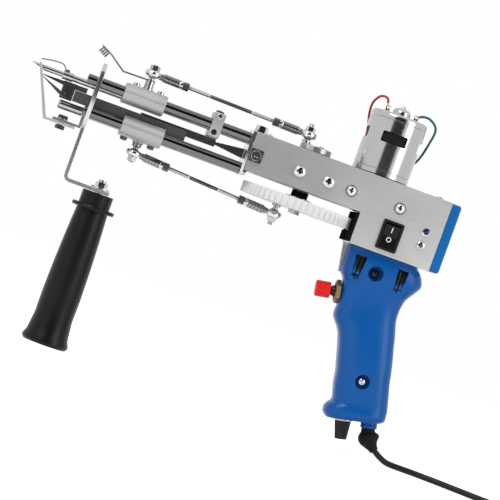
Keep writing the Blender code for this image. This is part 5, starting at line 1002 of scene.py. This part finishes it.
def make_stud(node, x, seat, eye, body, paint):
    up = Z_AXIS if eye > seat else -Z_AXIS
    tag = node.capitalize()
    rise = abs(eye - seat)
    spacer = [(0, SPACER_BASE), (0.0041, SPACER_BASE), (0.0041, SPACER_BASE + 0.0009),
              (0.0034, SPACER_BASE + 0.0012), (0.0034, rise - 0.005), (0.003, rise - 0.0046),
              (PIN_RADIUS, rise - 0.0046), (PIN_RADIUS, rise - 0.0028), (0.0024, rise - 0.0026),
              *((radius, rise + z) for radius, z in ball_outline(BALL_RADIUS)[1:-1]),
              (PIN_RADIUS, rise + 0.0031), *thread(PIN_RADIUS * 0.95, rise + 0.0034, rise + 0.0066),
              (0, rise + 0.0069)]
    lathe(f"{tag}_spacer", spacer, (x, 0, seat), up, body, paint, "chrome", 44, (node,))
    centre = Vector((x, 0, eye))
    hexagon(f"{tag}_nut", centre + up * 0.0026, up, *STUD_NUT, body, "steel", "chrome")
    ring(f"{tag}_washer", band(PIN_RADIUS, 0.0036, 0, 0.0004), centre + up * 0.0022, up, body, "steel",
         "steel", 32)


make_can()
make_terminals()
make_leads()
make_crank()
make_rod("upper_rod", "upper_link", (UPPER_STUD_X, 0, UPPER_EYE_Z), (0.0409, 0, 0.2055), 0.1996)
make_rod("lower_rod", "lower_link", (LOWER_STUD_X, 0, LOWER_EYE_Z), (0.0363, 0, 0.1435), 0.151)
make_stud("upper_stud", UPPER_STUD_X, SLIDER_TOP, UPPER_EYE_Z, "needle_carriage", "steel")
make_stud("lower_stud", LOWER_STUD_X, SLIDER_BOTTOM, LOWER_EYE_Z, "knife_carriage", "shank")

# Needle, thread clip and yarn guide
NEEDLE_FRONT_X = -0.139
NEEDLE_RADIUS = 0.002
NEEDLE_BORE = NEEDLE_RADIUS - 0.0006
NEEDLE_TIP_X = NEEDLE_FRONT_X - 0.0235
NEEDLE_BACK_X = NEEDLE_FRONT_X + 0.0075
NEEDLE_SLANT = 0.011
# Radius and height of heads, and width across the flats and height of a nut
NEEDLE_SCREW, SLIDER_SCREW, GRIP_SCREW = (0.0015, 0.0017), (0.0026, 0.0028), (0.0033, 0.0026)
HANDLE_NUT = (0.0078, 0.0036)
GRIP_SCREW_SINK = 0.0032
THREAD_CLIP = ((-0.1378, 0, 0.1879), (-0.1388, 0, 0.1905), (-0.1415, 0, 0.1925), (-0.148, 0, 0.1924),
               (-0.154, 0, 0.1914), (-0.1568, 0, 0.1908))
THREAD_CLIP_RADIUS = 0.00045
YARN_RADIUS = 0.0006
YARN_RING = 0.0029
YARN_RING_Z = SLIDER_TOP + 0.00704
YARN_STEP = 0.0021
YARN_BEND = Vector((-0.0999, -0.00315, YARN_RING_Z))
YARN_BEND_START = (-0.0969, -YARN_STEP, YARN_RING_Z - 0.0003)
YARN_LIFT_SHARE = 0.7
YARN_EYE = Vector((UPPER_STUD_X - 0.038, 0, YARN_RING_Z + 0.0084))
YARN_EYE_RADIUS, YARN_EYE_LENGTH = 0.0023, 0.0074
YARN_TILT = 0.4
YARN_TURNS = 4
YARN_POINTS = 24
SLIDER_SCREWS = (
    (-0.0871, SLIDER_TOP, Z_AXIS, "needle_carriage", "chrome", "chrome"),
    (-0.0688, SLIDER_TOP, Z_AXIS, "needle_carriage", "chrome", "chrome"),
    (-0.0831, SLIDER_BOTTOM, -Z_AXIS, "knife_carriage", "dark", "dark_steel"),
    (-0.0627, SLIDER_BOTTOM, -Z_AXIS, "knife_carriage", "dark", "dark_steel"),
)


def make_needle():
    respin("needle_bar", (NEEDLE_FRONT_X, 0, NEEDLE_BAR_Z), X_AXIS, "steel", 48, 0.00012)
    form = bmesh.new()
    rings = []
    for radius, rear in ((NEEDLE_RADIUS, True), (NEEDLE_RADIUS, False), (NEEDLE_BORE, False),
                         (NEEDLE_BORE, True)):
        points = []
        for angle in arc(40, 0, 2 * math.pi)[:-1]:
            y, z = radius * math.cos(angle), radius * math.sin(angle)
            x = NEEDLE_TIP_X + NEEDLE_SLANT * (1 - (z / radius + 1) / 2) ** 1.2
            points.append(form.verts.new((NEEDLE_BACK_X if rear else x, y, NEEDLE_BAR_Z + z)))
        rings.append(points)
    join_all(form, rings, True)
    add_piece("Needle_tube", form, "needle_carriage", "steel", ("needle",), 30)
    screw("Needle_set_screw", (NEEDLE_FRONT_X + 0.0027, 0, NEEDLE_BAR_Z + 0.0029), Z_AXIS, *NEEDLE_SCREW,
          "needle_carriage", "dark", "dark_steel", "socket", 0.3)
    wire("Thread_clip", smooth_route(THREAD_CLIP, 6), THREAD_CLIP_RADIUS, "needle_carriage", "wire")


def make_yarn_guide():
    """A ring round the stud, a bent arm, and an eye whose turns lie along the arm."""
    route = [(UPPER_STUD_X + YARN_RING * math.cos(angle), -YARN_RING * math.sin(angle), YARN_RING_Z)
             for angle in arc(YARN_POINTS, -0.75 * math.pi, 0.95 * math.pi)]
    axis = ((YARN_EYE - YARN_BEND).normalized() - YARN_TILT * Y_AXIS).normalized()
    up = Y_AXIS.cross(axis).normalized()
    across = axis.cross(up)
    turns = []
    for step in range(YARN_TURNS * YARN_POINTS + 1):
        angle = 2 * math.pi * step / YARN_POINTS
        along = YARN_EYE_LENGTH * (step / (YARN_TURNS * YARN_POINTS) - 0.5)
        out = up * math.cos(angle) + across * math.sin(angle)
        turns.append(YARN_EYE + axis * along + YARN_EYE_RADIUS * out)
    arm = smooth_route([route[-1], YARN_BEND_START, YARN_BEND, YARN_BEND.lerp(turns[0], YARN_LIFT_SHARE),
                        turns[0]], 6)
    wire("Yarn_guide_wire", [*route, *arm[1:-1], *turns], YARN_RADIUS, "needle_carriage", "wire",
         ("yarn_guide",))


def make_front():
    """Slider screws, front handle, presser foot post and its bolt."""
    for number, (x, z, way, body, paint, slot) in enumerate(SLIDER_SCREWS):
        screw(f"Slider_screw_{number}", (x, 0, z), way, *SLIDER_SCREW, body, paint, slot, "socket", 0.25)
    handle = (HANDLE_X, 0, 0)
    respin("front_handle", handle, Z_AXIS, "handle", 96, 0.0004, 30)
    respin("handle_bolt", handle, Z_AXIS, "chrome", 40)
    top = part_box("handle_bolt")[1].z
    hexagon("Handle_nut", (HANDLE_X, 0, top - 0.0054), Z_AXIS, *HANDLE_NUT, "frame", "chrome", "chrome")
    respin("front_post", (0, 0, POST_Z), X_AXIS, "steel", 48, 0.0003)
    respin("foot_bolt", (FOOT_BOLT_X, 0, 0), Z_AXIS, "dark", 6, 0.0003)
    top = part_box("foot_bolt")[1].z
    flange = [(0.0019, 0), (0.004, 0), (0.004, 0.0006), (0.0019, 0.0008)]
    ring("Foot_bolt_flange", flange, (FOOT_BOLT_X, 0, top - 0.0029), Z_AXIS, "frame", "steel", "steel", 32)


# Rear grip, as shares of its sizes: front reach, front drop, rear reach, rear drop and width
DEEP_FRONT = 0.0925
GRIP_TOP = 0.1423
GRIP_REACH = 0.0707
GRIP_HEIGHT = 0.1225
GRIP_HALF = 0.0175
GRIP_ROUNDNESS = 2.9
GRIP_WALL = 0.0024
GRIP_STEPS = 36
GRIP_BETWEEN = 4
GRIP_SEAM = 0.00002
GRIP_ROWS = (
    (0.023, 0, 0.777, 0, 0.94), (0.03, 0.047, 0.849, 0.047, 1), (0.035, 0.1, 0.881, 0.1, 1),
    (0.044, 0.16, 0.847, 0.14, 0.97), (0.089, 0.198, 0.793, 0.188, 0.9), (0.105, 0.223, 0.771, 0.215, 0.88),
    (0.123, 0.288, 0.754, 0.28, 0.86), (0.132, 0.358, 0.762, 0.341, 0.86), (0.134, 0.424, 0.784, 0.386, 0.88),
    (0.204, 0.48, 0.812, 0.443, 0.9), (0.242, 0.518, 0.827, 0.48, 0.92), (0.276, 0.575, 0.856, 0.541, 0.94),
    (0.321, 0.669, 0.895, 0.631, 0.96), (0.348, 0.725, 0.918, 0.696, 0.96), (0.371, 0.8, 0.953, 0.77, 0.95),
    (0.41, 0.888, 0.99, 0.851, 0.93), (0.383, 0.913, 0.997, 0.88, 0.95), (0.361, 0.941, 1, 0.902, 0.97),
    (0.366, 0.974, 0.994, 0.917, 0.95), (0.41, 1, 0.969, 0.931, 0.86),
)
HOLLOW_ROWS = 16
HOLLOW_LIFT, HOLLOW_PAST = 0.002, 0.001
# Painted shade: a gloss-black skin lines each grip slot so that its inside reads dark.
SLOT_SHADE_ROWS = 8
SLOT_SHADE_SINK, SLOT_SHADE_WALL, SLOT_SHADE_SEAM = 0.0013, 0.0004, 0.0001
FACE_LIMIT = 0.98
SLOT_REACHES = (0.178, 0.634)
SLOT_TOP_DROP = 0.043
SLOT_DROP = 0.145
SLOT_TOP_HALF, SLOT_FOOT_HALF = 0.0043, 0.0028
SLOT_DEEP, SLOT_LEAST = 0.0044, 0.0006
SLOT_PAST = 0.0004
SLOT_OUTSIDE = GRIP_HALF + 0.002
CUP_FLOOR = 0.009
CUP_BORE = 0.0053
CUP = [(0, CUP_FLOOR - 0.002), (0.0064, CUP_FLOOR - 0.002), (0.0064, GRIP_HALF * 0.86),
       (0.0052, GRIP_HALF * 0.86), (0.0052, CUP_FLOOR), (0, CUP_FLOOR)]
CUP_HOLE = [(0, CUP_FLOOR - 0.0015), (CUP_BORE, CUP_FLOOR - 0.0015), (CUP_BORE, GRIP_HALF - 0.0012),
            (CUP_BORE + 0.0006, GRIP_HALF - 0.0004), (CUP_BORE + 0.0006, GRIP_HALF + 0.003),
            (0, GRIP_HALF + 0.003)]
# Share of the reach, share of the drop, how far out the head stands, its finish and slot
GRIP_SCREWS = ((0.372, 0.117, 0.001, "dark", "dark_steel"), (0.621, 0.736, 0.003, "chrome", "chrome"))
TRIGGER_PLACE = (0.095, 0.288)
TRIGGER_LEAN = math.radians(10)
TRIGGER_WAY = Vector((math.cos(TRIGGER_LEAN), 0, math.sin(TRIGGER_LEAN)))
TRIGGER_HOLE = [(0, -0.015), (0.0089, -0.015), (0.0089, 0.0018), (0.006, 0.0018), (0.006, 0.009), (0, 0.009)]
CONTROL_REACH, GLAND_REACH = 0.594, 0.858
FOOT_HOLE_DEEP, FOOT_HOLE_PAST = 0.0075, 0.003


def grip_point(reach, drop):
    return Vector((DEEP_FRONT + reach * GRIP_REACH, 0, GRIP_TOP - drop * GRIP_HEIGHT))


def grip_form(rows, inset, side, seam):
    """Fine half sections of the grip, set in by a wall, from its middle plane to one side."""
    lines = [[], [], []]
    for front_reach, front_drop, rear_reach, rear_drop, wide in rows:
        front, rear = grip_point(front_reach, front_drop), grip_point(rear_reach, rear_drop)
        ahead = (rear - front).normalized() * inset
        lines[0].append(front + ahead)
        lines[1].append(rear - ahead)
        lines[2].append(Vector((wide * GRIP_HALF - inset, 0, 0)))
    sections = []
    for front, rear, half in zip(*(smooth_route(line, GRIP_BETWEEN) for line in lines)):
        points = []
        for step in range(GRIP_STEPS + 1):
            angle = math.pi * (1 - step / GRIP_STEPS)
            along = math.copysign(abs(math.cos(angle)) ** (2 / GRIP_ROUNDNESS), math.cos(angle))
            across = max(abs(math.sin(angle)) ** (2 / GRIP_ROUNDNESS) * half.x, seam)
            points.append((front + rear) / 2 + along * (rear - front) / 2 + Vector((0, side * across, 0)))
        sections.append(points)
    return sections


def grip_face(reach, z):
    """How far out the grip's face stands at a place near its top."""
    drop = (GRIP_TOP - z) / GRIP_HEIGHT
    front, _, rear, _, wide = next(row for row in GRIP_ROWS if row[1] >= drop)
    share = min(abs(reach - (front + rear) / 2) / ((rear - front) / 2), FACE_LIMIT)
    return wide * GRIP_HALF * (1 - share**GRIP_ROUNDNESS) ** (1 / GRIP_ROUNDNESS)


def slot_form(reach, side, swell=0):
    """The round-floored channel of one slot: deep at its top, running out at its foot."""
    sections = []
    x = DEEP_FRONT + reach * GRIP_REACH
    for t in arc(12, 0, 1):
        half = SLOT_TOP_HALF + (SLOT_FOOT_HALF - SLOT_TOP_HALF) * t + swell
        deep = SLOT_DEEP * (1 - t**1.6) + SLOT_LEAST + swell
        z = GRIP_TOP - GRIP_HEIGHT * (SLOT_TOP_DROP + SLOT_DROP * t) + (0 if t else swell)
        face = side * (grip_face(reach, z) + SLOT_PAST)
        floor = [Vector((x - half * math.cos(angle), face - side * deep * math.sin(angle), z))
                 for angle in arc(16, 0, math.pi)]
        outside = [Vector((x + way * half, side * SLOT_OUTSIDE, z)) for way in (-1, 1)]
        sections.append([outside[0], *floor, outside[1]])
    return stacked(sections)


def grip_foot():
    """Where the speed control and the cord leave the foot, and the way out of it."""
    front, rear = grip_point(*GRIP_ROWS[-1][:2]), grip_point(*GRIP_ROWS[-1][2:4])
    control, gland = (front.lerp(rear, (DEEP_FRONT + share * GRIP_REACH - front.x) / (rear.x - front.x))
                      for share in (CONTROL_REACH, GLAND_REACH))
    down = (rear - front).normalized().cross(Y_AXIS)
    return control, gland, down if down.z < 0 else -down


def make_grip(name, side):
    tag = name.capitalize()
    out = side * Y_AXIS
    form = stacked(grip_form(GRIP_ROWS, 0, side, GRIP_SEAM))
    grip = add_piece(f"{tag}_shell", form, "frame", "blue", (name,), 40)
    hollow = grip_form(GRIP_ROWS[:HOLLOW_ROWS], GRIP_WALL, side, 0)
    for section in hollow:
        section[0].y = section[-1].y = -side * HOLLOW_PAST
    cut(grip, tool(stacked([[point + HOLLOW_LIFT * Z_AXIS for point in hollow[0]], *hollow])))
    for number, (reach, drop, stand, paint, slot) in enumerate(GRIP_SCREWS):
        place = grip_point(reach, drop)
        lathe(f"{tag}_cup_{number}", CUP, place, out, "frame", "cap_blue", "blue")
        cut(grip, tool(lathe_form(CUP_HOLE, place, out)))
        screw(f"{tag}_screw_{number}", place + out * (CUP_FLOOR + stand), out, *GRIP_SCREW, "frame", paint,
              slot, "cross", 0.8, GRIP_SCREW_SINK)
    for number, reach in enumerate(SLOT_REACHES):
        # Painted shade: the gloss-black skin inside this slot, deepest at its top, makes the slot read dark.
        form = slot_form(reach, side, SLOT_SHADE_WALL)
        slot_shade = add_piece(f"{tag}_pocket_{number}", form, "frame", "gloss_black", (), 40)
        cut(slot_shade, tool(slot_form(reach, side)))
        within = stacked(grip_form(GRIP_ROWS[:SLOT_SHADE_ROWS], SLOT_SHADE_SINK, side, SLOT_SHADE_SEAM))
        cut(slot_shade, tool(within), operation="INTERSECT")
        cut(grip, tool(slot_form(reach, side)))
    cut(grip, tool(lathe_form(TRIGGER_HOLE, grip_point(*TRIGGER_PLACE), TRIGGER_WAY, 64)))
    control, gland, down = grip_foot()
    for place, radius in ((control, 0.0038), (gland, 0.0047)):
        cut(grip, tool(lathe_form(band(0, radius, -FOOT_HOLE_DEEP, FOOT_HOLE_PAST), place, down, 40)))
    ease(grip, 0.0002, 40)


# Trigger, lamp, switch and speed knob
BOOT = [(0.0045, -0.0016), (0.0062, -0.0016), (0.0065, -0.0019), (0.0061, -0.0022), (0.0048, -0.0023),
        (0.0045, -0.0023)]
TRIGGER_WASHER = band(0.0058, 0.0079, -0.0021, -0.0015)
LENS = [(0, -0.0075), (0.0021, -0.0075), (0.0021, 0.0006), (0.0018, 0.0012), (0.001, 0.0015), (0, 0.0016)]
LAMP_RIM = [(0.0021, -0.0002), (0.0033, 0), (0.0033, 0.0004), (0.0028, 0.0009), (0.0021, 0.001)]
LAMP = (0.1416, -CHEEK_SEAT, 0.1682)
ROCKER_PLACE = Vector((0.118, -0.0205, 0.1567))
ROCKER_TILT = math.radians(7)
ROCKER_RISE = 0.0037
MARK_LOW, MARK_HIGH = -0.00004, 0.00005
MARK_HALF_WIDTH, MARK_HALF_HEIGHT = 0.00036, 0.002
MARK_RING = (0.00122, 0.00185)
KNOB_RIBS = 18
KNOB_STEPS = 144
KNOB_RIB, KNOB_RIB_SINK = 0.00028, 0.0003
KNOB_RIB_FROM = 0.004
POINTER = (0.002, 0.0003, 0.0003)


def make_controls():
    nut = grip_point(*TRIGGER_PLACE)
    respin("trigger_switch", nut, TRIGGER_WAY, "black", 56, 0.0002)
    respin("trigger_button", nut, TRIGGER_WAY, "red", 64, 0.0005)
    ring("Trigger_boot", BOOT, nut, TRIGGER_WAY, "frame", "rubber", "rubber", 56)
    ring("Trigger_washer", TRIGGER_WASHER, nut, TRIGGER_WAY, "frame", "copper", "bronze")
    respin("speed_control", *grip_foot()[::2], "steel", 56, 0.0002)
    lathe("Lamp_lens", LENS, LAMP, -Y_AXIS, "frame", "lens", SLOT_OF["indicator_lamp"], 48,
          ("indicator_lamp",))
    ring("Lamp_rim", LAMP_RIM, LAMP, -Y_AXIS, "frame", "chrome", "chrome")


def make_rocker():
    """The rocker, and its two marks laid on its bent face."""
    dress("rocker", "gloss_black", 0.0004)
    turn = Matrix.Translation(ROCKER_PLACE) @ Matrix.Rotation(ROCKER_TILT, 4, "X")
    bar = [(x * MARK_HALF_WIDTH, z * MARK_HALF_HEIGHT) for x, z in SQUARE]
    circle = lathe_form(band(*MARK_RING, MARK_LOW, MARK_HIGH), (0, 0, 0), Y_AXIS, 40, True)
    marks = (("on", 0.005, 1, prism_form(bar, MARK_LOW, MARK_HIGH)), ("off", -0.0022, -1, circle))
    for tag, z, way, form in marks:
        at = Vector((0, -(ROCKER_RISE + abs(z) * math.tan(ROCKER_TILT)), z))
        up = Vector((0, -way * math.sin(ROCKER_TILT), math.cos(ROCKER_TILT)))
        place = turn @ Matrix.Translation(at) @ Matrix((X_AXIS, X_AXIS.cross(up), up)).transposed().to_4x4()
        bmesh.ops.transform(form, matrix=place, verts=form.verts)
        add_piece(f"Rocker_mark_{tag}", form, "switch", "white", (), 30)


def make_knob():
    """The knob with fine ribs round its skirt, and the white mark on its end."""
    control, _, down = grip_foot()
    across = down.orthogonal().normalized()
    other = down.cross(across)
    outline = turned_outline("speed_knob", control, down)
    form = bmesh.new()
    rings = []
    for radius, at in outline:
        points = []
        for angle in arc(KNOB_STEPS, 0, 2 * math.pi)[:-1]:
            out = radius
            if radius > KNOB_RIB_FROM:
                out += KNOB_RIB * math.cos(KNOB_RIBS * angle) - KNOB_RIB_SINK
            way = across * math.cos(angle) + other * math.sin(angle)
            points.append(form.verts.new(control + down * at + out * way))
        rings.append(points)
    join_all(form, rings)
    add_piece("Speed_knob_ribbed", form, "speed_dial", "black", ("speed_knob",), 30)
    end = control + down * max(at for _, at in outline)
    half_length, half_width, half_rise = POINTER
    third = down.cross(across).normalized()
    sections = [[end + across * a * half_length + third * b * half_width + down * z for a, b in SQUARE]
                for z in (half_rise, -half_rise)]
    add_piece("Speed_knob_mark", stacked(sections), "speed_dial", "white")


# Cord collar and strain relief
CORD_COLLAR = [(0.0025, -0.0039), (0.0043, -0.0039), (0.0043, 0.0003), (0.0061, 0.0003), (0.0061, 0.002),
               (0.0058, 0.0023), (0.0061, 0.0026), (0.006, 0.0044), (0.0056, 0.0048), (0.0025, 0.0048)]
RELIEF_START = 0.0051
RELIEF_GAP = 0.0003
RELIEF_RADIUS = 0.0079
RELIEF_SHARES = (0.62, 0.66, 0.92, 1, 0.9, 0.66, 0.48, 0.4)
RELIEF_SIDES = 32
RELIEF_STEPS = 30


def make_relief():
    """A rubber boot along the bend from the collar to the cord."""
    _, gland, down = grip_foot()
    ring("Cord_collar_ring", CORD_COLLAR, gland, down, "frame", "blue", SLOT_OF["cord_collar"], 56,
         ("cord_collar",))
    start = gland + down * RELIEF_START
    finish = Vector(CORD_ROUTE[0])
    finish -= (Vector(CORD_ROUTE[1]) - finish).normalized() * RELIEF_GAP
    bend = start + down * RELIEF_RADIUS
    sections = []
    for t in arc(RELIEF_STEPS, 0, 1):
        centre = start * (1 - t) ** 2 + 2 * bend * t * (1 - t) + finish * t**2
        along = ((bend - start) * (1 - t) + (finish - bend) * t).normalized()
        across = along.cross(Y_AXIS).normalized()
        place = t * (len(RELIEF_SHARES) - 1)
        index = min(int(place), len(RELIEF_SHARES) - 2)
        low, high = RELIEF_SHARES[index:index + 2]
        radius = RELIEF_RADIUS * (low + (high - low) * (place - index))
        sections.append([centre + radius * (across * math.cos(angle) + Y_AXIS * math.sin(angle))
                         for angle in arc(RELIEF_SIDES, 0, 2 * math.pi)[:-1]])
    add_piece("Strain_relief_boot", stacked(sections), "frame", "rubber", ("strain_relief",), 50)


make_needle()
make_yarn_guide()
make_front()
make_grip("grip_near", -1)
make_grip("grip_far", 1)
make_controls()
make_rocker()
make_knob()
make_relief()

# Studio: white all round, a broad lamp above the camera's left and one at its right
WORLD_LEVEL = 0.55
FLOOR_LIFT = 0.6
FLOOR_HALF = 3.0
WHITE = (1, 1, 1, 1)
LAMPS = (
    ("key_lamp", (-1.2, -1.6, 1.9), (1.2, 1.2), 32),
    ("fill_lamp", (1.6, -1.4, 0.9), (0.9, 1.6), 14),
)
CARD_REACH = 2.6
CARD_HALF_TURN = math.radians(24)
CARD_LOW, CARD_HIGH = 0.02, 3.4


def make_lights():
    world = bpy.data.worlds.new("studio")
    scene.world = world
    world.use_nodes = True
    tree = world.node_tree
    tree.nodes.clear()
    rays = add_node(tree, "LightPath").outputs
    seen = math_node(tree, "MAXIMUM", rays["Is Camera Ray"], rays["Is Glossy Ray"])
    seen = math_node(tree, "MAXIMUM", seen, rays["Is Transmission Ray"])
    dim = add_node(tree, "Background", None, {"Color": WHITE, "Strength": WORLD_LEVEL}).outputs[0]
    white = add_node(tree, "Background", None, {"Color": WHITE, "Strength": 1}).outputs[0]
    mix = add_node(tree, "MixShader", {0: seen, 1: dim, 2: white}).outputs[0]
    add_node(tree, "OutputWorld", {"Surface": mix})
    for name, place, size, energy in LAMPS:
        data = bpy.data.lights.new(name, "AREA")
        data.shape = "RECTANGLE"
        data.size, data.size_y = size
        data.energy = energy
        lamp = add_object(name, data)
        lamp.location = place
        lamp.rotation_euler = (VIEW_TARGET - Vector(place)).to_track_quat("-Z", "Y").to_euler()


def stage(name, faces, paint):
    """A piece of the studio, from the corners of its faces."""
    form = bmesh.new()
    for corners in faces:
        form.faces.new([form.verts.new(corner) for corner in corners])
    bmesh.ops.remove_doubles(form, verts=form.verts, dist=TOUCH)
    mesh = bpy.data.meshes.new(name)
    form.to_mesh(mesh)
    form.free()
    mesh.materials.append(paint)
    piece = add_object(name, mesh)
    return piece


def make_floor():
    """A pale floor that shows white and keeps the part's shadow."""
    paint, tree, shader = node_tree("floor_paint", Roughness=0.9, Specular_IOR_Level=0.1)
    pale = mix_colours(tree, noise(tree, 3), (0.8, 0.8, 0.8), (0.84, 0.84, 0.84))
    tree.links.new(pale, shader["Base Color"])
    rays = add_node(tree, "LightPath").outputs
    seen = math_node(tree, "MAXIMUM", rays["Is Camera Ray"], rays["Is Glossy Ray"])
    lift = math_node(tree, "MULTIPLY", seen, FLOOR_LIFT)
    glow = add_node(tree, "Emission", {"Strength": lift}, {"Color": WHITE}).outputs[0]
    both = add_node(tree, "AddShader", {0: tree.nodes["Principled BSDF"].outputs[0], 1: glow}).outputs[0]
    tree.links.new(both, tree.nodes["Material Output"].inputs["Surface"])
    corners = [(x * FLOOR_HALF, y * FLOOR_HALF, 0) for x, y in SQUARE]
    stage("floor", [corners], paint)


def make_card():
    """A dark curved card behind the camera, seen only in the metal's reflections."""
    paint, tree, shader = node_tree("card_paint", Roughness=1)
    dark = mix_colours(tree, noise(tree, 2), (0.012, 0.012, 0.012), (0.02, 0.02, 0.02))
    tree.links.new(dark, shader["Base Color"])
    lines = [[(CARD_REACH * math.sin(angle), -CARD_REACH * math.cos(angle), z) for z in (CARD_LOW, CARD_HIGH)]
             for angle in arc(8, -CARD_HALF_TURN, CARD_HALF_TURN)]
    card = stage("front_card", [(*line, *reversed(other)) for line, other in zip(lines, lines[1:])], paint)
    card.visible_camera = False
    card.visible_diffuse = False
    card.visible_shadow = False


make_lights()
make_floor()
make_card()
scene.view_settings.view_transform = "Standard"
